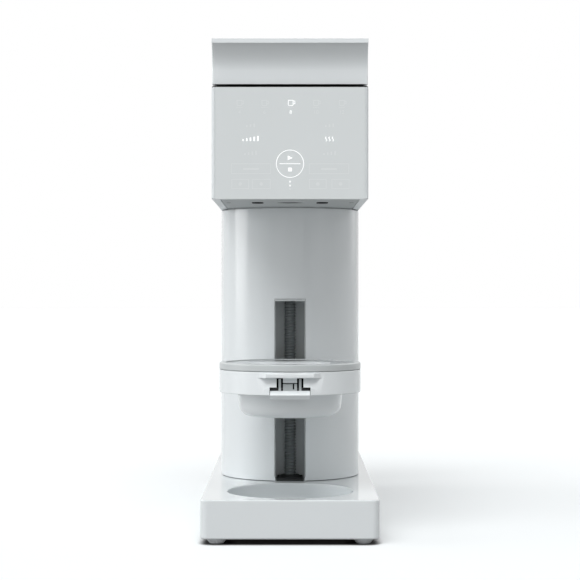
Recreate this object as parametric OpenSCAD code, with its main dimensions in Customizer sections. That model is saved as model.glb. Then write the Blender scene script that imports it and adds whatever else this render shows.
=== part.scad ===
// Single serve coffee maker: a pod brewer with a motor-driven cup lift.
// Millimetres. +Z is up, the front faces -Y, and the origin is the centre of the footprint on the table.

/* [Footprint] */
// From the front of the base to the axis of the cup, spout and dish
cup_setback = 49; // [48:0.5:56]
// From the cup's axis back to the axis of the column's round front
cup_reach = 98; // [97:0.5:106]
// From the column's round front axis back to its rear face
column_straight = 88; // [86:0.5:100]
// Gap between the column and the water tank
tank_gap = 2; // [1:0.5:4]
// Depth of the water tank
tank_d = 68; // [60:1:80]
// Base left showing behind the water tank
rear_margin = 5; // [5:0.5:10]

/* [Base] */
// Width of the base slab
base_w = 112; // [110:0.5:124]
// Height of the base slab above its feet
base_h = 24.5; // [23.5:0.5:30]
// Radius of the slab's upright corners
base_corner_r = 6; // [4:0.5:8]
// Wall of the base shell
base_wall = 2.4; // [2:0.1:2.8]
// Thickness of the closing plate underneath
plate_t = 2.4; // [2:0.1:2.8]
// Radius of the dish that the drip bowl sinks into
dish_r = 40.6; // [39:0.2:42]
// Depth of the dish
dish_depth = 17; // [15:0.5:17]
// Radius at the foot of the dish's wall
dish_fillet = 9; // [4:0.5:11]
// Diameter of a rubber foot where it meets the slab
foot_d = 14.5; // [12:0.5:17]
// Diameter of a rubber foot on the table
foot_tip_d = 9.5; // [8:0.5:11]
// Height of a rubber foot
foot_h = 3.5; // [3:0.5:7]
// From a foot's centre to the slab's edges
foot_inset = 10; // [9.5:0.5:13]
// From a base screw to the end of the slab
base_screw_inset = 26; // [24:0.5:34]

/* [Column] */
// Width of the column, the head and the lid
body_w = 97.5; // [96:0.5:102]
// Height of the column between base and head
column_h = 187; // [186:0.5:210]
// Wall of the column
column_wall = 2.6; // [2.2:0.1:3]
// Width of the lift slot
slot_w = 21.4; // [19.4:0.1:22]
// Height of the lift slot
slot_h = 124.5; // [120:0.5:126]
// Wall of the dark channel behind the slot
liner_wall = 1.4; // [1:0.1:1.6]
// Height of the bosses that hold the column down
column_boss_h = 20; // [12:1:30]

/* [Lift] */
// Outer diameter of the lead screw's thread
screw_d = 8; // [7:0.1:8.4]
// Diameter of the screw's plain ends
journal_d = 6; // [5:0.1:6.4]
// From the column's front to the screw's axis
screw_setback = 16.75; // [16:0.25:19]
// From the screw's axis to the channel's rear wall
channel_reach = 10.5; // [10:0.25:14]
// Outer diameter of the lift nut
nut_d = 12; // [11:0.1:12.4]
// Height of the ring's underside above the base, at rest
tray_rise = 64.5; // [63:0.5:72]
// Height of the carriage's arm
arm_h = 9.5; // [8:0.25:10]
// Width of the carriage's arm
arm_w = 12; // [10:0.5:13]
// Thickness of the lower screw bearing
bearing_h = 3; // [2.5:0.25:3.5]
// Thickness of the motor bracket's plates
bracket_t = 3; // [2:0.25:4]
// Clear height for the shaft coupling inside the bracket
coupling_room = 18; // [16:0.5:19]
// Diameter of the lift motor's gearbox
motor_d = 25; // [20:0.5:26]
// Height of the lift motor
motor_h = 27; // [20:0.5:28]

/* [Tray] */
// Outer radius of the tray ring
ring_r = 45.9; // [45:0.1:46.2]
// Height of the tray ring
ring_h = 14.6; // [14:0.1:17]
// Outer radius of the drip bowl
bowl_r = 33.8; // [32:0.1:34.5]
// Depth of the drip bowl below the ring
bowl_drop = 15.5; // [12:0.5:16.5]
// Radius at the bowl's foot
bowl_fillet = 8; // [4:0.5:10]
// Wall of the drip bowl
bowl_wall = 2; // [1.6:0.1:2.4]
// Width of the bowl's rim
bowl_rim_w = 4.2; // [3:0.1:5]
// Thickness of the bowl's rim
bowl_rim_t = 2; // [1.5:0.1:2.4]
// Height of the cup platform's edge
platform_h = 4.7; // [4.2:0.1:6]
// Width of the platform's edge around the grate
platform_edge_w = 4.1; // [3:0.1:5]
// Thickness of the drip grate
grate_t = 2; // [1.6:0.1:2.4]
// Width of a slot in the grate
grate_slot_w = 3; // [2:0.1:3.6]
// Width of a bar in the grate
grate_bar_w = 3.6; // [3:0.1:5]

/* [Latch] */
// Depth of the flat cut in the front of the ring
flat_depth = 3.9; // [3:0.1:4.4]
// Width of the ledge over the latch
ledge_w = 29.8; // [27:0.1:32]
// Height of the ledge over the latch
ledge_h = 3.6; // [3:0.1:4]
// Width of the latch's press tab
tab_w = 25; // [23:0.5:26]
// How far the press tab hangs below the ring
tab_drop = 2.5; // [1.5:0.1:2.8]
// Height of the press tab
tab_h = 5.4; // [5:0.1:5.8]
// Distance between the middles of the two prongs
prong_spacing = 12.8; // [12:0.1:14]
// Width of a prong
prong_w = 2.1; // [1.6:0.1:2.4]
// Diameter of the latch's pivot pin
latch_pin_d = 2; // [1.6:0.1:2.2]

/* [Head] */
// Height of the head
head_h = 69.5; // [68:0.5:80]
// Wall of the head
head_wall = 2.6; // [2.2:0.1:3]
// Radius of the head's upright edges
head_edge_r = 2; // [1:0.25:2.5]
// Thickness of the control panel
panel_t = 2; // [1.5:0.1:2.5]
// Head wall showing on each side of the panel
panel_margin = 1.9; // [1.6:0.1:3]
// Width of the rim round the underside
rim_w = 5; // [4:0.25:6]
// How far the spout plate lies above the rim
spout_recess = 0.25; // [0.2:0.05:1]
// Thickness of the spout plate
spout_plate_t = 2.5; // [2:0.1:3]
// Outer diameter of the brew outlet
outlet_d = 17; // [14:0.5:19]
// How far the brew outlet reaches below the spout plate
outlet_drop = 0; // [0:0.25:3]
// Radius of the pod holder's mouth
pod_r = 24.5; // [24:0.1:25]
// Depth of the pod holder
pod_depth = 44; // [42:0.5:45]
// Thickness of the deck under the lid
deck_t = 3; // [2.5:0.1:3.5]

/* [Lid] */
// Gap between the head and the lid
lid_gap = 2.8; // [2:0.1:3.5]
// Height of the lid
lid_h = 27.4; // [26:0.2:32]
// Thickness of the lid's front lip
lip_t = 2.7; // [2.4:0.1:3.2]
// How far the lip stands out past the lid's face
lip_reach = 8; // [7:0.5:10]
// Radius of the hollow curve between the lid's face and its lip
cove_r = 20; // [18:0.5:22]
// Wall of the lid
lid_wall = 2.4; // [2:0.1:2.7]
// Radius of the hinge barrel
hinge_r = 6; // [5:0.1:7]
// Diameter of the hinge pin
hinge_pin_d = 3.2; // [2.6:0.1:3.6]
// From the column's round front axis forward to the hinge
hinge_setback = 12; // [6:0.5:16]

/* [Water tank] */
// Width of the water tank
tank_w = 92; // [80:1:96]
// Height of the water tank's body
tank_h = 266; // [240:1:270]
// Wall of the water tank
tank_wall = 2.2; // [1.8:0.1:2.6]
// Radius of the tank's upright corners
tank_corner_r = 12; // [8:0.5:16]
// Thickness of the tank's lid
tank_lid_t = 3.7; // [3:0.1:5]
// Diameter of the tank's hinge pin
tank_pin_d = 2; // [1.6:0.1:2.4]
// Diameter of the valve's spigot
valve_d = 14; // [12:0.5:15]
// Length of the valve's spigot below the tank
valve_drop = 11; // [9:0.5:12]

/* [Water path] */
// Outer diameter of the hoses
hose_d = 9; // [8:0.25:9.5]
// Outer diameter of the nipples that the hoses push onto
nipple_d = 6; // [5:0.1:6.4]
// Bend radius of the hoses
hose_bend = 10; // [8:0.5:12]
// From the column's rear face to the axis of pump and heater
water_setback = 30; // [28:0.5:32]
// Diameter of the pump
pump_d = 34; // [30:0.5:38]
// Height of the pump above its pedestal
pump_h = 40; // [34:1:44]
// Diameter of the heater
heater_d = 42; // [36:0.5:46]
// Height of the heater
heater_h = 76; // [60:1:80]
// Height of the hose that feeds the heater
feed_gap = 28; // [22:0.5:30]

/* [Hidden] */
$fn = 96;

// Colours as seen
pale = [0.83, 0.85, 0.86];
panel_grey = [0.80, 0.82, 0.83];
lip_grey = [0.86, 0.88, 0.89];
dark_grey = [0.30, 0.32, 0.33];
black = [0.08, 0.08, 0.09];
steel = [0.70, 0.71, 0.72];
smoke = [0.55, 0.60, 0.64];
board_green = [0.10, 0.32, 0.22];
hose_white = [0.90, 0.90, 0.88];
brass = [0.72, 0.58, 0.32];

// Clearances: parts that seat, parts that slide, pins that run, and how far a cut overshoots
fit = 0.2;
slide_fit = 0.3;
run_fit = 0.05;
cut = 1;
// How far two shapes of one piece reach into each other
sink = 0.5;

// Shared screws
screw_r = 1.5;
screw_head_r = 2.8;
screw_head_h = 1.2;
screw_len = 10;
boss_r = 4;
boss_gap = 1.5;

// Plan positions
base_d = cup_setback + cup_reach + column_straight + tank_gap + tank_d + rear_margin;
front_y = -base_d / 2;
cup_y = front_y + cup_setback;
column_y = cup_y + cup_reach;
column_r = body_w / 2;
column_front_y = column_y - column_r;
back_y = column_y + column_straight;
screw_y = column_front_y + screw_setback;
tank_front_y = back_y + tank_gap;
tank_y = tank_front_y + tank_d / 2;
water_y = back_y - water_setback;
hinge_y = column_y - hinge_setback;

// Heights
base_top = foot_h + base_h;
plate_top = foot_h + plate_t;
dish_floor = base_top - dish_depth;
head_z0 = base_top + column_h;
head_z1 = head_z0 + head_h;
lid_z0 = head_z1 + lid_gap;
lid_z1 = lid_z0 + lid_h;
hinge_z = lid_z1 - hinge_r;
lip_z0 = lid_z1 - lip_t;
tray_z0 = base_top + tray_rise;
tray_z1 = tray_z0 + ring_h;
hose_z = (plate_top + base_top - base_wall) / 2;

// Fixing places
base_screw_x = base_w / 2 - base_wall - boss_r - boss_gap;
base_screw_y = base_d / 2 - base_screw_inset;
column_boss_x = column_r - column_wall - boss_r + sink;
column_boss_front = 10;
column_boss_rear = 14;
column_boss_ys = [column_y + column_boss_front, back_y - column_boss_rear];
foot_peg_r = 3;
hose_clear = 1;

// Lift pieces
channel_half = slot_w / 2 - fit - liner_wall;
channel_back_y = screw_y + channel_reach;
slot_edge_y = column_y - sqrt(column_r * column_r - slot_w * slot_w / 4);
slot_cut_d = column_r + cut - sqrt(pow(column_r - column_wall, 2) - slot_w * slot_w / 4) + cut;
slot_top = base_top + slot_h;
bracket_z0 = slot_top + cut;
bracket_z1 = bracket_z0 + bracket_t;
bracket_z2 = bracket_z1 + coupling_room;
bracket_room = 5.5;
bracket_half = motor_d / 2 + bracket_room + bracket_t;
bracket_inset = 4;
bracket_y0 = screw_y - motor_d / 2 + bracket_inset;
bracket_d = motor_d - bracket_inset;
screw_clear = 1;
bearing_wall = 2.5;
bearing_base_t = 1.5;
bush_r = journal_d / 2 + 3;
bush_flange_w = 1.5;
gearbox_h = 13.5;
gearbox_step = 2.5;
shaft_depth = 9;
upper_flange_t = 1.5;
coupling_gap = 0.6;
coupling_wall = 4;
coupling_r = journal_d / 2 + coupling_wall;
screw_split_z = bracket_z1 + coupling_room / 2;
arm_rise = 1.5;
arm_z0 = tray_z0 + arm_rise;
arm_z1 = arm_z0 + arm_h;
nut_flange_t = 2;
nut_flange_w = 1.4;
nut_rise = 1.5;
carriage_reach = 8;
carriage_front_y = screw_y - carriage_reach;
carriage_back_y = channel_back_y - slide_fit;
hook_step = 2.5;
hook_w = arm_w + 2 * hook_step;
hook_d = 3.4;
hook_bite = 7.7;
hook_front_y = cup_y + ring_r - hook_bite;

// Tray pieces
ring_bore_r = bowl_r + slide_fit;
rim_r = bowl_r + bowl_rim_w;
rim_z0 = tray_z1 - bowl_rim_t - fit;
bowl_z0 = tray_z0 - bowl_drop;
platform_z1 = tray_z1 + platform_h;
grate_r = ring_r - platform_edge_w - slide_fit;
grate_sink = 0.6;
grate_z0 = platform_z1 - grate_t - grate_sink;
grate_margin = 4;
platform_bore_r = bowl_r - bowl_wall;
ring_front_y = cup_y - ring_r;
flat_y = ring_front_y + flat_depth;
flat_z1 = tray_z1 - ledge_h;
flat_half = sqrt(ring_r * ring_r - pow(ring_r - flat_depth, 2));
tab_z0 = tray_z0 - tab_drop;
tab_z1 = tab_z0 + tab_h;
latch_setback = 2.6;
latch_y = flat_y + latch_setback;
latch_rise = 1;
latch_z = tab_z1 + latch_rise;
latch_room = 2.4;
latch_room_y = latch_y + latch_room;
latch_head_room = 1;
latch_room_z = latch_z + latch_pin_d / 2 + latch_head_room;
latch_pin_seat = 3;
latch_pin_reach = tab_w / 2 + slide_fit + latch_pin_seat;
latch_bar = 1.4;
latch_bar_top = 1.2;
prong_clear = 0.8;
prong_z1 = flat_z1 - prong_clear;
prong_reach = 1;
ledge_set = 0.7;
prong_gap = 0.6;
tab_d = 6.6;

// Head pieces
head_d = back_y - front_y;
head_mid_y = (front_y + back_y) / 2;
panel_back = 2.4;
panel_half = column_r - panel_margin;
inside_y = front_y + panel_t + panel_back;
spout_z0 = head_z0 + spout_recess;
spout_z1 = spout_z0 + spout_plate_t;
ledge_t = 2;
ledge_in = 3;
floor_z1 = spout_z1 + ledge_t;
under_half = column_r - rim_w;
under_y0 = front_y + rim_w;
under_y1 = back_y - rim_w;
spout_screw_inset = 0.8;
spout_screw_x = under_half - ledge_in - spout_screw_inset;
spout_screw_head_r = 2;
vent_x = 21;
vent_r = 3.75;
spout_plate_rear = 20;
deck_z0 = head_z1 - deck_t;
pod_wall = 2;
pod_taper = 3;
pod_flange_w = 4.6;
pod_flange_t = 1.5;
pod_z0 = head_z1 - pod_depth;
chamber_r = pod_r + pod_wall + slide_fit + pod_wall;
chamber_drop = 5;
chamber_z0 = pod_z0 - pod_wall - chamber_drop;
outlet_flange_w = 5;
outlet_flange_r = outlet_d / 2 + outlet_flange_w;
outlet_flange_t = 2;
outlet_wall = 2.5;
port_setback = 28;
port_y = hinge_y - port_setback;
port_wall = 2;
port_r = nipple_d / 2 + port_wall;
port_flange_t = 3;
port_flange_w = 3;
nipple_bore_d = nipple_d - 3;
touch_margin = 8;
touch_floor_gap = 5;
touch_deck_gap = 3;
needle_root_r = 2.6;
needle_tip_r = 1.4;
needle_bore_r = 0.9;
needle_flange_w = 3;
needle_flange_t = 1.5;
needle_foot = 2;
lower_needle_l = 10;

// Lid pieces
lid_face_y = front_y + lip_reach;
cove_h = sqrt(cove_r * cove_r - (cove_r - lip_reach) * (cove_r - lip_reach));
lid_back_y = hinge_y - sink;
liner_t = 2.5;
hinge_gap = 0.6;
lug_inset = 8.5;
lug_x = column_r - lug_inset;
lug_w = 8;
pin_inset = 1.5;
seal_clear = 0.6;
seal_t = lid_gap - seal_clear;
seal_inset = 4;
seal_ring_w = 4;
upper_needle_l = 14;
upper_needle_rise = 3;
upper_needle_root_r = 2.2;
upper_needle_tip_r = 1.2;
upper_needle_bore_r = 0.8;
upper_needle_flange_w = 4;
lid_room_back_y = hinge_y - hinge_r - lid_wall;

// Water pieces
pedestal_h = 16;
pedestal_wall = 4;
pump_z0 = base_top + pedestal_h;
pump_z1 = pump_z0 + pump_h;
heater_z0 = pump_z1 + feed_gap;
heater_z1 = heater_z0 + heater_h;
nipple_l = 8;
hose_bore_r = nipple_d / 2 + run_fit;
hose_end = 0.3;
brew_run_drop = 22;
run_z = head_z1 - brew_run_drop;
ear_w = 20;
ear_t = 4;
ear_inset = 6;
seal_w = 0.8;
socket_seal_h = 2;
socket_seal_rise = 3;
skirt_clear = 1.2;
skirt_h = 4;
skirt_inset = tank_wall + skirt_clear;
socket_wall = 4;
socket_r = valve_d / 2 + socket_wall;
socket_flange_w = 5;
socket_flange_r = socket_r + socket_flange_w;
socket_flange_t = 2;
tank_z0 = base_top + socket_flange_t;
tank_z1 = tank_z0 + tank_h;
tank_back_y = tank_front_y + tank_d;
tank_barrel_r = 3;
tank_hinge_out = 1.5;
tank_hinge_y = tank_back_y + tank_hinge_out;
tank_hinge_z = tank_z1 + tank_barrel_r + slide_fit;
tank_lid_relief = 0.7;
knuckle_root = 2;
tank_lug_x = 21;
tank_lug_w = 6;
tank_lug_h = 10;
valve_rise = 10;
valve_flange_w = 5;
valve_flange_t = 3;
gland_inset = 21;
gland_x = base_w / 2 - gland_inset;
gland_r = 6;
gland_flange_w = 2.5;
gland_flange_t = 3;
gland_bore_r = 3.5;
board_t = 1.6;
board_w = 28;
board_h = 100;
board_gap = 4.15;
board_drop = 15;
board_x1 = column_r - column_wall - board_gap;
board_x0 = board_x1 - board_w;
board_z1 = head_z0 - board_drop;
board_z0 = board_z1 - board_h;
board_peg_l = 3;
board_peg_r = 2.5;
board_peg_side = 4;
board_peg_end = 10;
board_peg_xs = [board_x0 + board_peg_side, board_x1 - board_peg_side];
board_peg_zs = [board_z0 + board_peg_end, board_z1 - board_peg_end];

// Repeated shapes

// A rectangle with rounded corners, centred
module round_rect(w, d, r) {
    square([w, d - 2 * r], center = true);
    square([w - 2 * r, d], center = true);
    for (sx = [-1, 1], sy = [-1, 1])
        translate([sx * (w / 2 - r), sy * (d / 2 - r)]) circle(r);
}

// A slab with rounded upright corners, its underside at zero
module slab(w, d, h, r) {
    linear_extrude(h) round_rect(w, d, r);
}

// A flat-sided tube
module tube(r_out, r_in, h) {
    difference() {
        cylinder(r = r_out, h = h);
        translate([0, 0, -cut]) cylinder(r = r_in, h = h + 2 * cut);
    }
}

// The column's plan: a round front and straight sides, drawn in by an inset
module column_plan(inset, rear_y = back_y) {
    translate([0, column_y]) circle(column_r - inset);
    translate([-(column_r - inset), column_y])
        square([body_w - 2 * inset, rear_y - column_y]);
}

// A side profile drawn in Y and Z, extruded across X about the middle
module across(w) {
    rotate([90, 0, 90]) linear_extrude(w, center = true) children();
}

// A round bar across X about the middle
module cross_bar(r, w) {
    rotate([0, 90, 0]) cylinder(r = r, h = w, center = true);
}

// The outline of a bowl with a rounded foot, for turning about the axis
module bowl_outline(r, h, foot_r) {
    square([r - foot_r, h]);
    translate([0, foot_r]) square([r, h - foot_r]);
    translate([r - foot_r, foot_r]) circle(foot_r);
}

// A screw standing head down on zero
module screw_up() {
    cylinder(r = screw_head_r, h = screw_head_h);
    cylinder(r = screw_r, h = screw_len);
}

module base_screw_places() {
    for (sx = [-1, 1], sy = [-1, 1]) translate([sx * base_screw_x, sy * base_screw_y, 0]) children();
}

module column_screw_places() {
    for (sx = [-1, 1], y = column_boss_ys) translate([sx * column_boss_x, y, 0]) children();
}

module foot_places() {
    for (sx = [-1, 1], sy = [-1, 1])
        translate([sx * (base_w / 2 - foot_inset), sy * (base_d / 2 - foot_inset), 0]) children();
}

// A quarter bend of a hose in the Y and Z plane, from the direction given
module bend(r, turn) {
    rotate([0, 90, 0]) rotate([0, 0, turn]) rotate_extrude(angle = 90) translate([hose_bend, 0]) circle(r);
}

// Base

module base_shell() color(pale) difference() {
    union() {
        difference() {
            translate([0, 0, foot_h]) slab(base_w, base_d, base_h, base_corner_r);
            translate([0, 0, foot_h - cut])
                slab(base_w - 2 * base_wall, base_d - 2 * base_wall, base_h - base_wall + cut,
                     base_corner_r - base_wall);
        }
        translate([0, cup_y, dish_floor - base_wall])
            cylinder(r = dish_r + base_wall, h = base_top - dish_floor + base_wall - sink);
        base_screw_places() translate([0, 0, plate_top])
            cylinder(r = boss_r, h = base_top - plate_top - sink);
    }
    translate([0, cup_y, dish_floor]) rotate_extrude() bowl_outline(dish_r, dish_depth + cut, dish_fillet);
    base_screw_places() translate([0, 0, plate_top - cut])
        cylinder(r = screw_r + run_fit, h = screw_len + cut);
    column_screw_places() translate([0, 0, base_top - base_wall - cut])
        cylinder(r = screw_r + fit, h = base_wall + 2 * cut);
    translate([0, water_y, base_top - base_wall - cut])
        cylinder(r = hose_d / 2 + hose_clear, h = base_wall + 2 * cut);
    translate([0, tank_y, base_top - base_wall - cut])
        cylinder(r = socket_r + fit, h = base_wall + 2 * cut);
    translate([gland_x, base_d / 2 - base_wall - cut, hose_z])
        rotate([-90, 0, 0]) cylinder(r = gland_r + run_fit, h = base_wall + 2 * cut);
}

module base_plate() color(dark_grey) difference() {
    translate([0, 0, foot_h])
        slab(base_w - 2 * (base_wall + fit), base_d - 2 * (base_wall + fit), plate_t,
             base_corner_r - base_wall - fit);
    foot_places() translate([0, 0, foot_h - cut]) cylinder(r = foot_peg_r + run_fit, h = plate_t + 2 * cut);
    base_screw_places() translate([0, 0, foot_h - cut])
        cylinder(r = screw_head_r + fit, h = screw_head_h + cut);
    base_screw_places() translate([0, 0, foot_h - cut]) cylinder(r = screw_r + fit, h = plate_t + 2 * cut);
}

module rubber_feet() color(dark_grey) foot_places() {
    cylinder(d1 = foot_tip_d, d2 = foot_d, h = foot_h);
    cylinder(r = foot_peg_r, h = plate_top);
}

module base_screws() color(steel) base_screw_places() translate([0, 0, foot_h]) screw_up();

module cord_gland() color(black) translate([gland_x, base_d / 2, hose_z]) rotate([90, 0, 0]) difference() {
    union() {
        cylinder(r = gland_r, h = base_wall + gland_flange_t);
        translate([0, 0, base_wall]) cylinder(r = gland_r + gland_flange_w, h = gland_flange_t);
    }
    translate([0, 0, -cut]) cylinder(r = gland_bore_r, h = base_wall + gland_flange_t + 2 * cut);
}

// Column

module column_shell() color(pale) translate([0, 0, base_top]) difference() {
    union() {
        linear_extrude(column_h) difference() {
            column_plan(0);
            column_plan(column_wall, back_y + cut);
        }
        linear_extrude(column_h + spout_recess + spout_plate_t) difference() {
            intersection() {
                column_plan(0);
                translate([-(under_half - fit), front_y])
                    square([2 * (under_half - fit), column_y - front_y]);
            }
            column_plan(column_wall, back_y + cut);
        }
        column_screw_places() cylinder(r = boss_r, h = column_boss_h);
    }
    translate([-slot_w / 2, column_front_y - cut, -cut]) cube([slot_w, slot_cut_d, slot_h + cut]);
    column_screw_places() translate([0, 0, -cut]) cylinder(r = screw_r + run_fit, h = screw_len + cut);
}

module column_back() color(pale) translate([0, 0, base_top]) {
    half = column_r - column_wall - fit;
    translate([-half, back_y - column_wall, 0]) cube([2 * half, column_wall, column_h]);
    for (x = board_peg_xs, z = board_peg_zs)
        translate([x, back_y - column_wall - board_peg_l, z - base_top])
            rotate([-90, 0, 0]) cylinder(r = board_peg_r, h = board_peg_l + sink);
}

module column_screws() color(steel)
    column_screw_places() translate([0, 0, base_top - base_wall - screw_head_h]) screw_up();

module slot_liner() color(dark_grey) {
    outer = channel_half + liner_wall;
    front = slot_edge_y + fit;
    translate([0, 0, base_top]) difference() {
        translate([-outer, front, 0]) cube([2 * outer, channel_back_y + liner_wall - front, slot_h - fit]);
        translate([-channel_half, front - cut, -cut])
            cube([2 * channel_half, channel_back_y - front + cut, slot_h - fit - liner_wall + cut]);
        translate([0, screw_y, 0]) cylinder(d = screw_d + 2 * screw_clear, h = slot_h + cut);
    }
}

// Lift drive

module lower_screw_bearing() color(black) translate([0, screw_y, base_top]) difference() {
    union() {
        cylinder(d = screw_d + 2 * bearing_wall, h = bearing_h);
        translate([-(channel_half - fit), slot_edge_y + slide_fit + fit - screw_y, 0])
            cube([2 * (channel_half - fit), channel_back_y - slot_edge_y - slide_fit - 2 * fit,
                  bearing_base_t]);
    }
    translate([0, 0, -cut]) cylinder(d = journal_d + 2 * run_fit, h = bearing_h + 2 * cut);
}

module upper_screw_bearing() color(brass) translate([0, screw_y, bracket_z0]) difference() {
    union() {
        cylinder(r = bush_r, h = bracket_t);
        translate([0, 0, bracket_t]) cylinder(r = bush_r + bush_flange_w, h = upper_flange_t);
    }
    translate([0, 0, -cut]) cylinder(d = journal_d + 2 * run_fit, h = bracket_t + upper_flange_t + 2 * cut);
}

module motor_bracket() color(steel) difference() {
    union() {
        translate([0, 0, bracket_z0]) linear_extrude(bracket_t) intersection() {
            column_plan(column_wall + fit);
            translate([-column_r, column_front_y])
                square([body_w, channel_back_y + motor_d / 2 - column_front_y]);
        }
        translate([-bracket_half, bracket_y0, bracket_z2]) cube([2 * bracket_half, bracket_d, bracket_t]);
        for (sx = [-1, 1])
            translate([sx * (bracket_half - bracket_t / 2) - bracket_t / 2, bracket_y0, bracket_z0])
                cube([bracket_t, bracket_d, bracket_z2 - bracket_z0 + bracket_t]);
    }
    translate([0, screw_y, bracket_z0 - cut]) cylinder(r = bush_r + run_fit, h = bracket_t + 2 * cut);
    translate([0, screw_y, bracket_z2 - cut])
        cylinder(d = journal_d + 2 * screw_clear, h = bracket_t + 2 * cut);
}

module lift_motor() color(steel) translate([0, screw_y, bracket_z2 + bracket_t]) difference() {
    union() {
        cylinder(d = motor_d, h = gearbox_h);
        cylinder(d = motor_d - 2 * gearbox_step, h = motor_h);
    }
    translate([0, 0, -cut]) cylinder(d = journal_d + 2 * run_fit, h = shaft_depth + cut);
}

module lead_screw() color(black) translate([0, screw_y, 0]) {
    translate([0, 0, base_top + cut])
        cylinder(d = journal_d, h = screw_split_z - coupling_gap - base_top - cut);
    translate([0, 0, base_top + bearing_h + fit])
        cylinder(d = screw_d, h = bracket_z0 - fit - base_top - bearing_h - fit);
}

module shaft_coupling() color(steel)
    translate([0, screw_y, bracket_z1 + upper_flange_t + coupling_gap])
    tube(coupling_r, journal_d / 2 + run_fit, coupling_room - upper_flange_t - 2 * coupling_gap);

module motor_shaft() color(steel) translate([0, screw_y, screw_split_z + coupling_gap])
    cylinder(d = journal_d, h = bracket_z2 + bracket_t + shaft_depth - cut - screw_split_z - coupling_gap);

module lift_carriage() color(dark_grey) {
    half = channel_half - slide_fit;
    difference() {
        union() {
            translate([-half, carriage_front_y, arm_z0])
                cube([2 * half, carriage_back_y - carriage_front_y, arm_h]);
            translate([-arm_w / 2, hook_front_y, arm_z0])
                cube([arm_w, carriage_front_y + sink - hook_front_y, arm_h]);
            translate([-hook_w / 2, hook_front_y, arm_z0]) cube([hook_w, hook_d, arm_h]);
        }
        translate([0, screw_y, arm_z0 - cut]) cylinder(d = nut_d + 2 * run_fit, h = arm_h + 2 * cut);
    }
}

module lift_nut() color(brass) translate([0, screw_y, arm_z0 - nut_flange_t]) difference() {
    union() {
        cylinder(d = nut_d + 2 * nut_flange_w, h = nut_flange_t);
        cylinder(d = nut_d, h = nut_flange_t + arm_h + nut_rise);
    }
    translate([0, 0, -cut])
        cylinder(d = screw_d + 2 * run_fit, h = arm_h + nut_flange_t + nut_rise + 2 * cut);
}

// Tray

module tray_ring() color(pale) difference() {
    union() {
        translate([0, cup_y, tray_z0]) cylinder(r = ring_r, h = ring_h);
        translate([-ledge_w / 2, ring_front_y, flat_z1]) cube([ledge_w, flat_depth, ledge_h - ledge_set]);
    }
    translate([0, cup_y, tray_z0 - cut]) cylinder(r = ring_bore_r, h = ring_h + 2 * cut);
    translate([0, cup_y, rim_z0]) cylinder(r = rim_r + slide_fit, h = ring_h);
    // Flat front pocket, the room for the press tab, and the two prong slots
    translate([-flat_half, ring_front_y - cut, tab_z1])
        cube([2 * flat_half, flat_depth + cut, flat_z1 - tab_z1]);
    translate([-tab_w / 2 - slide_fit, ring_front_y - cut, tray_z0 - cut])
        cube([tab_w + 2 * slide_fit, latch_room_y - ring_front_y + cut, latch_room_z - tray_z0 + cut]);
    for (sx = [-1, 1])
        translate([sx * prong_spacing / 2 - prong_w / 2 - prong_gap, ring_front_y - cut, tray_z0])
            cube([prong_w + 2 * prong_gap, latch_room_y - ring_front_y + cut, flat_z1 - tray_z0]);
    translate([0, latch_y, latch_z]) cross_bar(latch_pin_d / 2 + run_fit, 2 * latch_pin_reach + fit);
    // Rear hook pocket, open below and behind
    translate([-hook_w / 2 - slide_fit, hook_front_y - slide_fit, tray_z0 - cut])
        cube([hook_w + 2 * slide_fit, hook_d + 2 * slide_fit, arm_z1 - tray_z0 + cut]);
    translate([-arm_w / 2 - slide_fit, hook_front_y, tray_z0 - cut])
        cube([arm_w + 2 * slide_fit, cup_y + ring_r - hook_front_y + cut, arm_z1 - tray_z0 + cut]);
}

module drip_bowl() color(pale) translate([0, cup_y, bowl_z0]) rotate_extrude() difference() {
    union() {
        bowl_outline(bowl_r, tray_z1 - fit - bowl_z0, bowl_fillet);
        translate([0, rim_z0 - bowl_z0]) square([rim_r, bowl_rim_t]);
    }
    translate([0, bowl_wall]) bowl_outline(bowl_r - bowl_wall, tray_z1 - bowl_z0, bowl_fillet - bowl_wall);
}

module cup_platform() color(pale) translate([0, cup_y, tray_z1]) difference() {
    cylinder(r = ring_r, h = platform_h);
    translate([0, 0, -cut]) cylinder(r = platform_bore_r, h = platform_h + 2 * cut);
    translate([0, 0, grate_z0 - tray_z1]) cylinder(r = grate_r + slide_fit, h = platform_h);
}

module latch_pin() color(steel) translate([0, latch_y, latch_z])
    cross_bar(latch_pin_d / 2, 2 * latch_pin_reach);

module tray_latch() color(lip_grey) difference() {
    union() {
        translate([-tab_w / 2, ring_front_y, tab_z0]) cube([tab_w, tab_d, tab_h]);
        translate([-tab_w / 2, latch_y - latch_bar, tab_z1 - sink])
            cube([tab_w, 2 * latch_bar, latch_z - tab_z1 + sink + latch_bar_top]);
        for (sx = [-1, 1])
            translate([sx * prong_spacing / 2 - prong_w / 2, flat_y - prong_reach, tab_z1 - sink])
                cube([prong_w, latch_y + latch_bar - flat_y + prong_reach, prong_z1 - tab_z1 + sink]);
    }
    translate([0, latch_y, latch_z]) cross_bar(latch_pin_d / 2 + run_fit, tab_w + 2 * cut);
}

module drip_grate() color(steel) translate([0, cup_y, grate_z0]) difference() {
    cylinder(r = grate_r, h = grate_t);
    pitch = grate_slot_w + grate_bar_w;
    reach = platform_bore_r - grate_margin;
    rows = floor((reach - grate_slot_w / 2) / pitch);
    for (i = [-rows : rows]) {
        half = sqrt(reach * reach - pow(abs(i) * pitch + grate_slot_w / 2, 2));
        translate([-half, i * pitch - grate_slot_w / 2, -cut])
            cube([2 * half, grate_slot_w, grate_t + 2 * cut]);
    }
}

// Head

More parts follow.
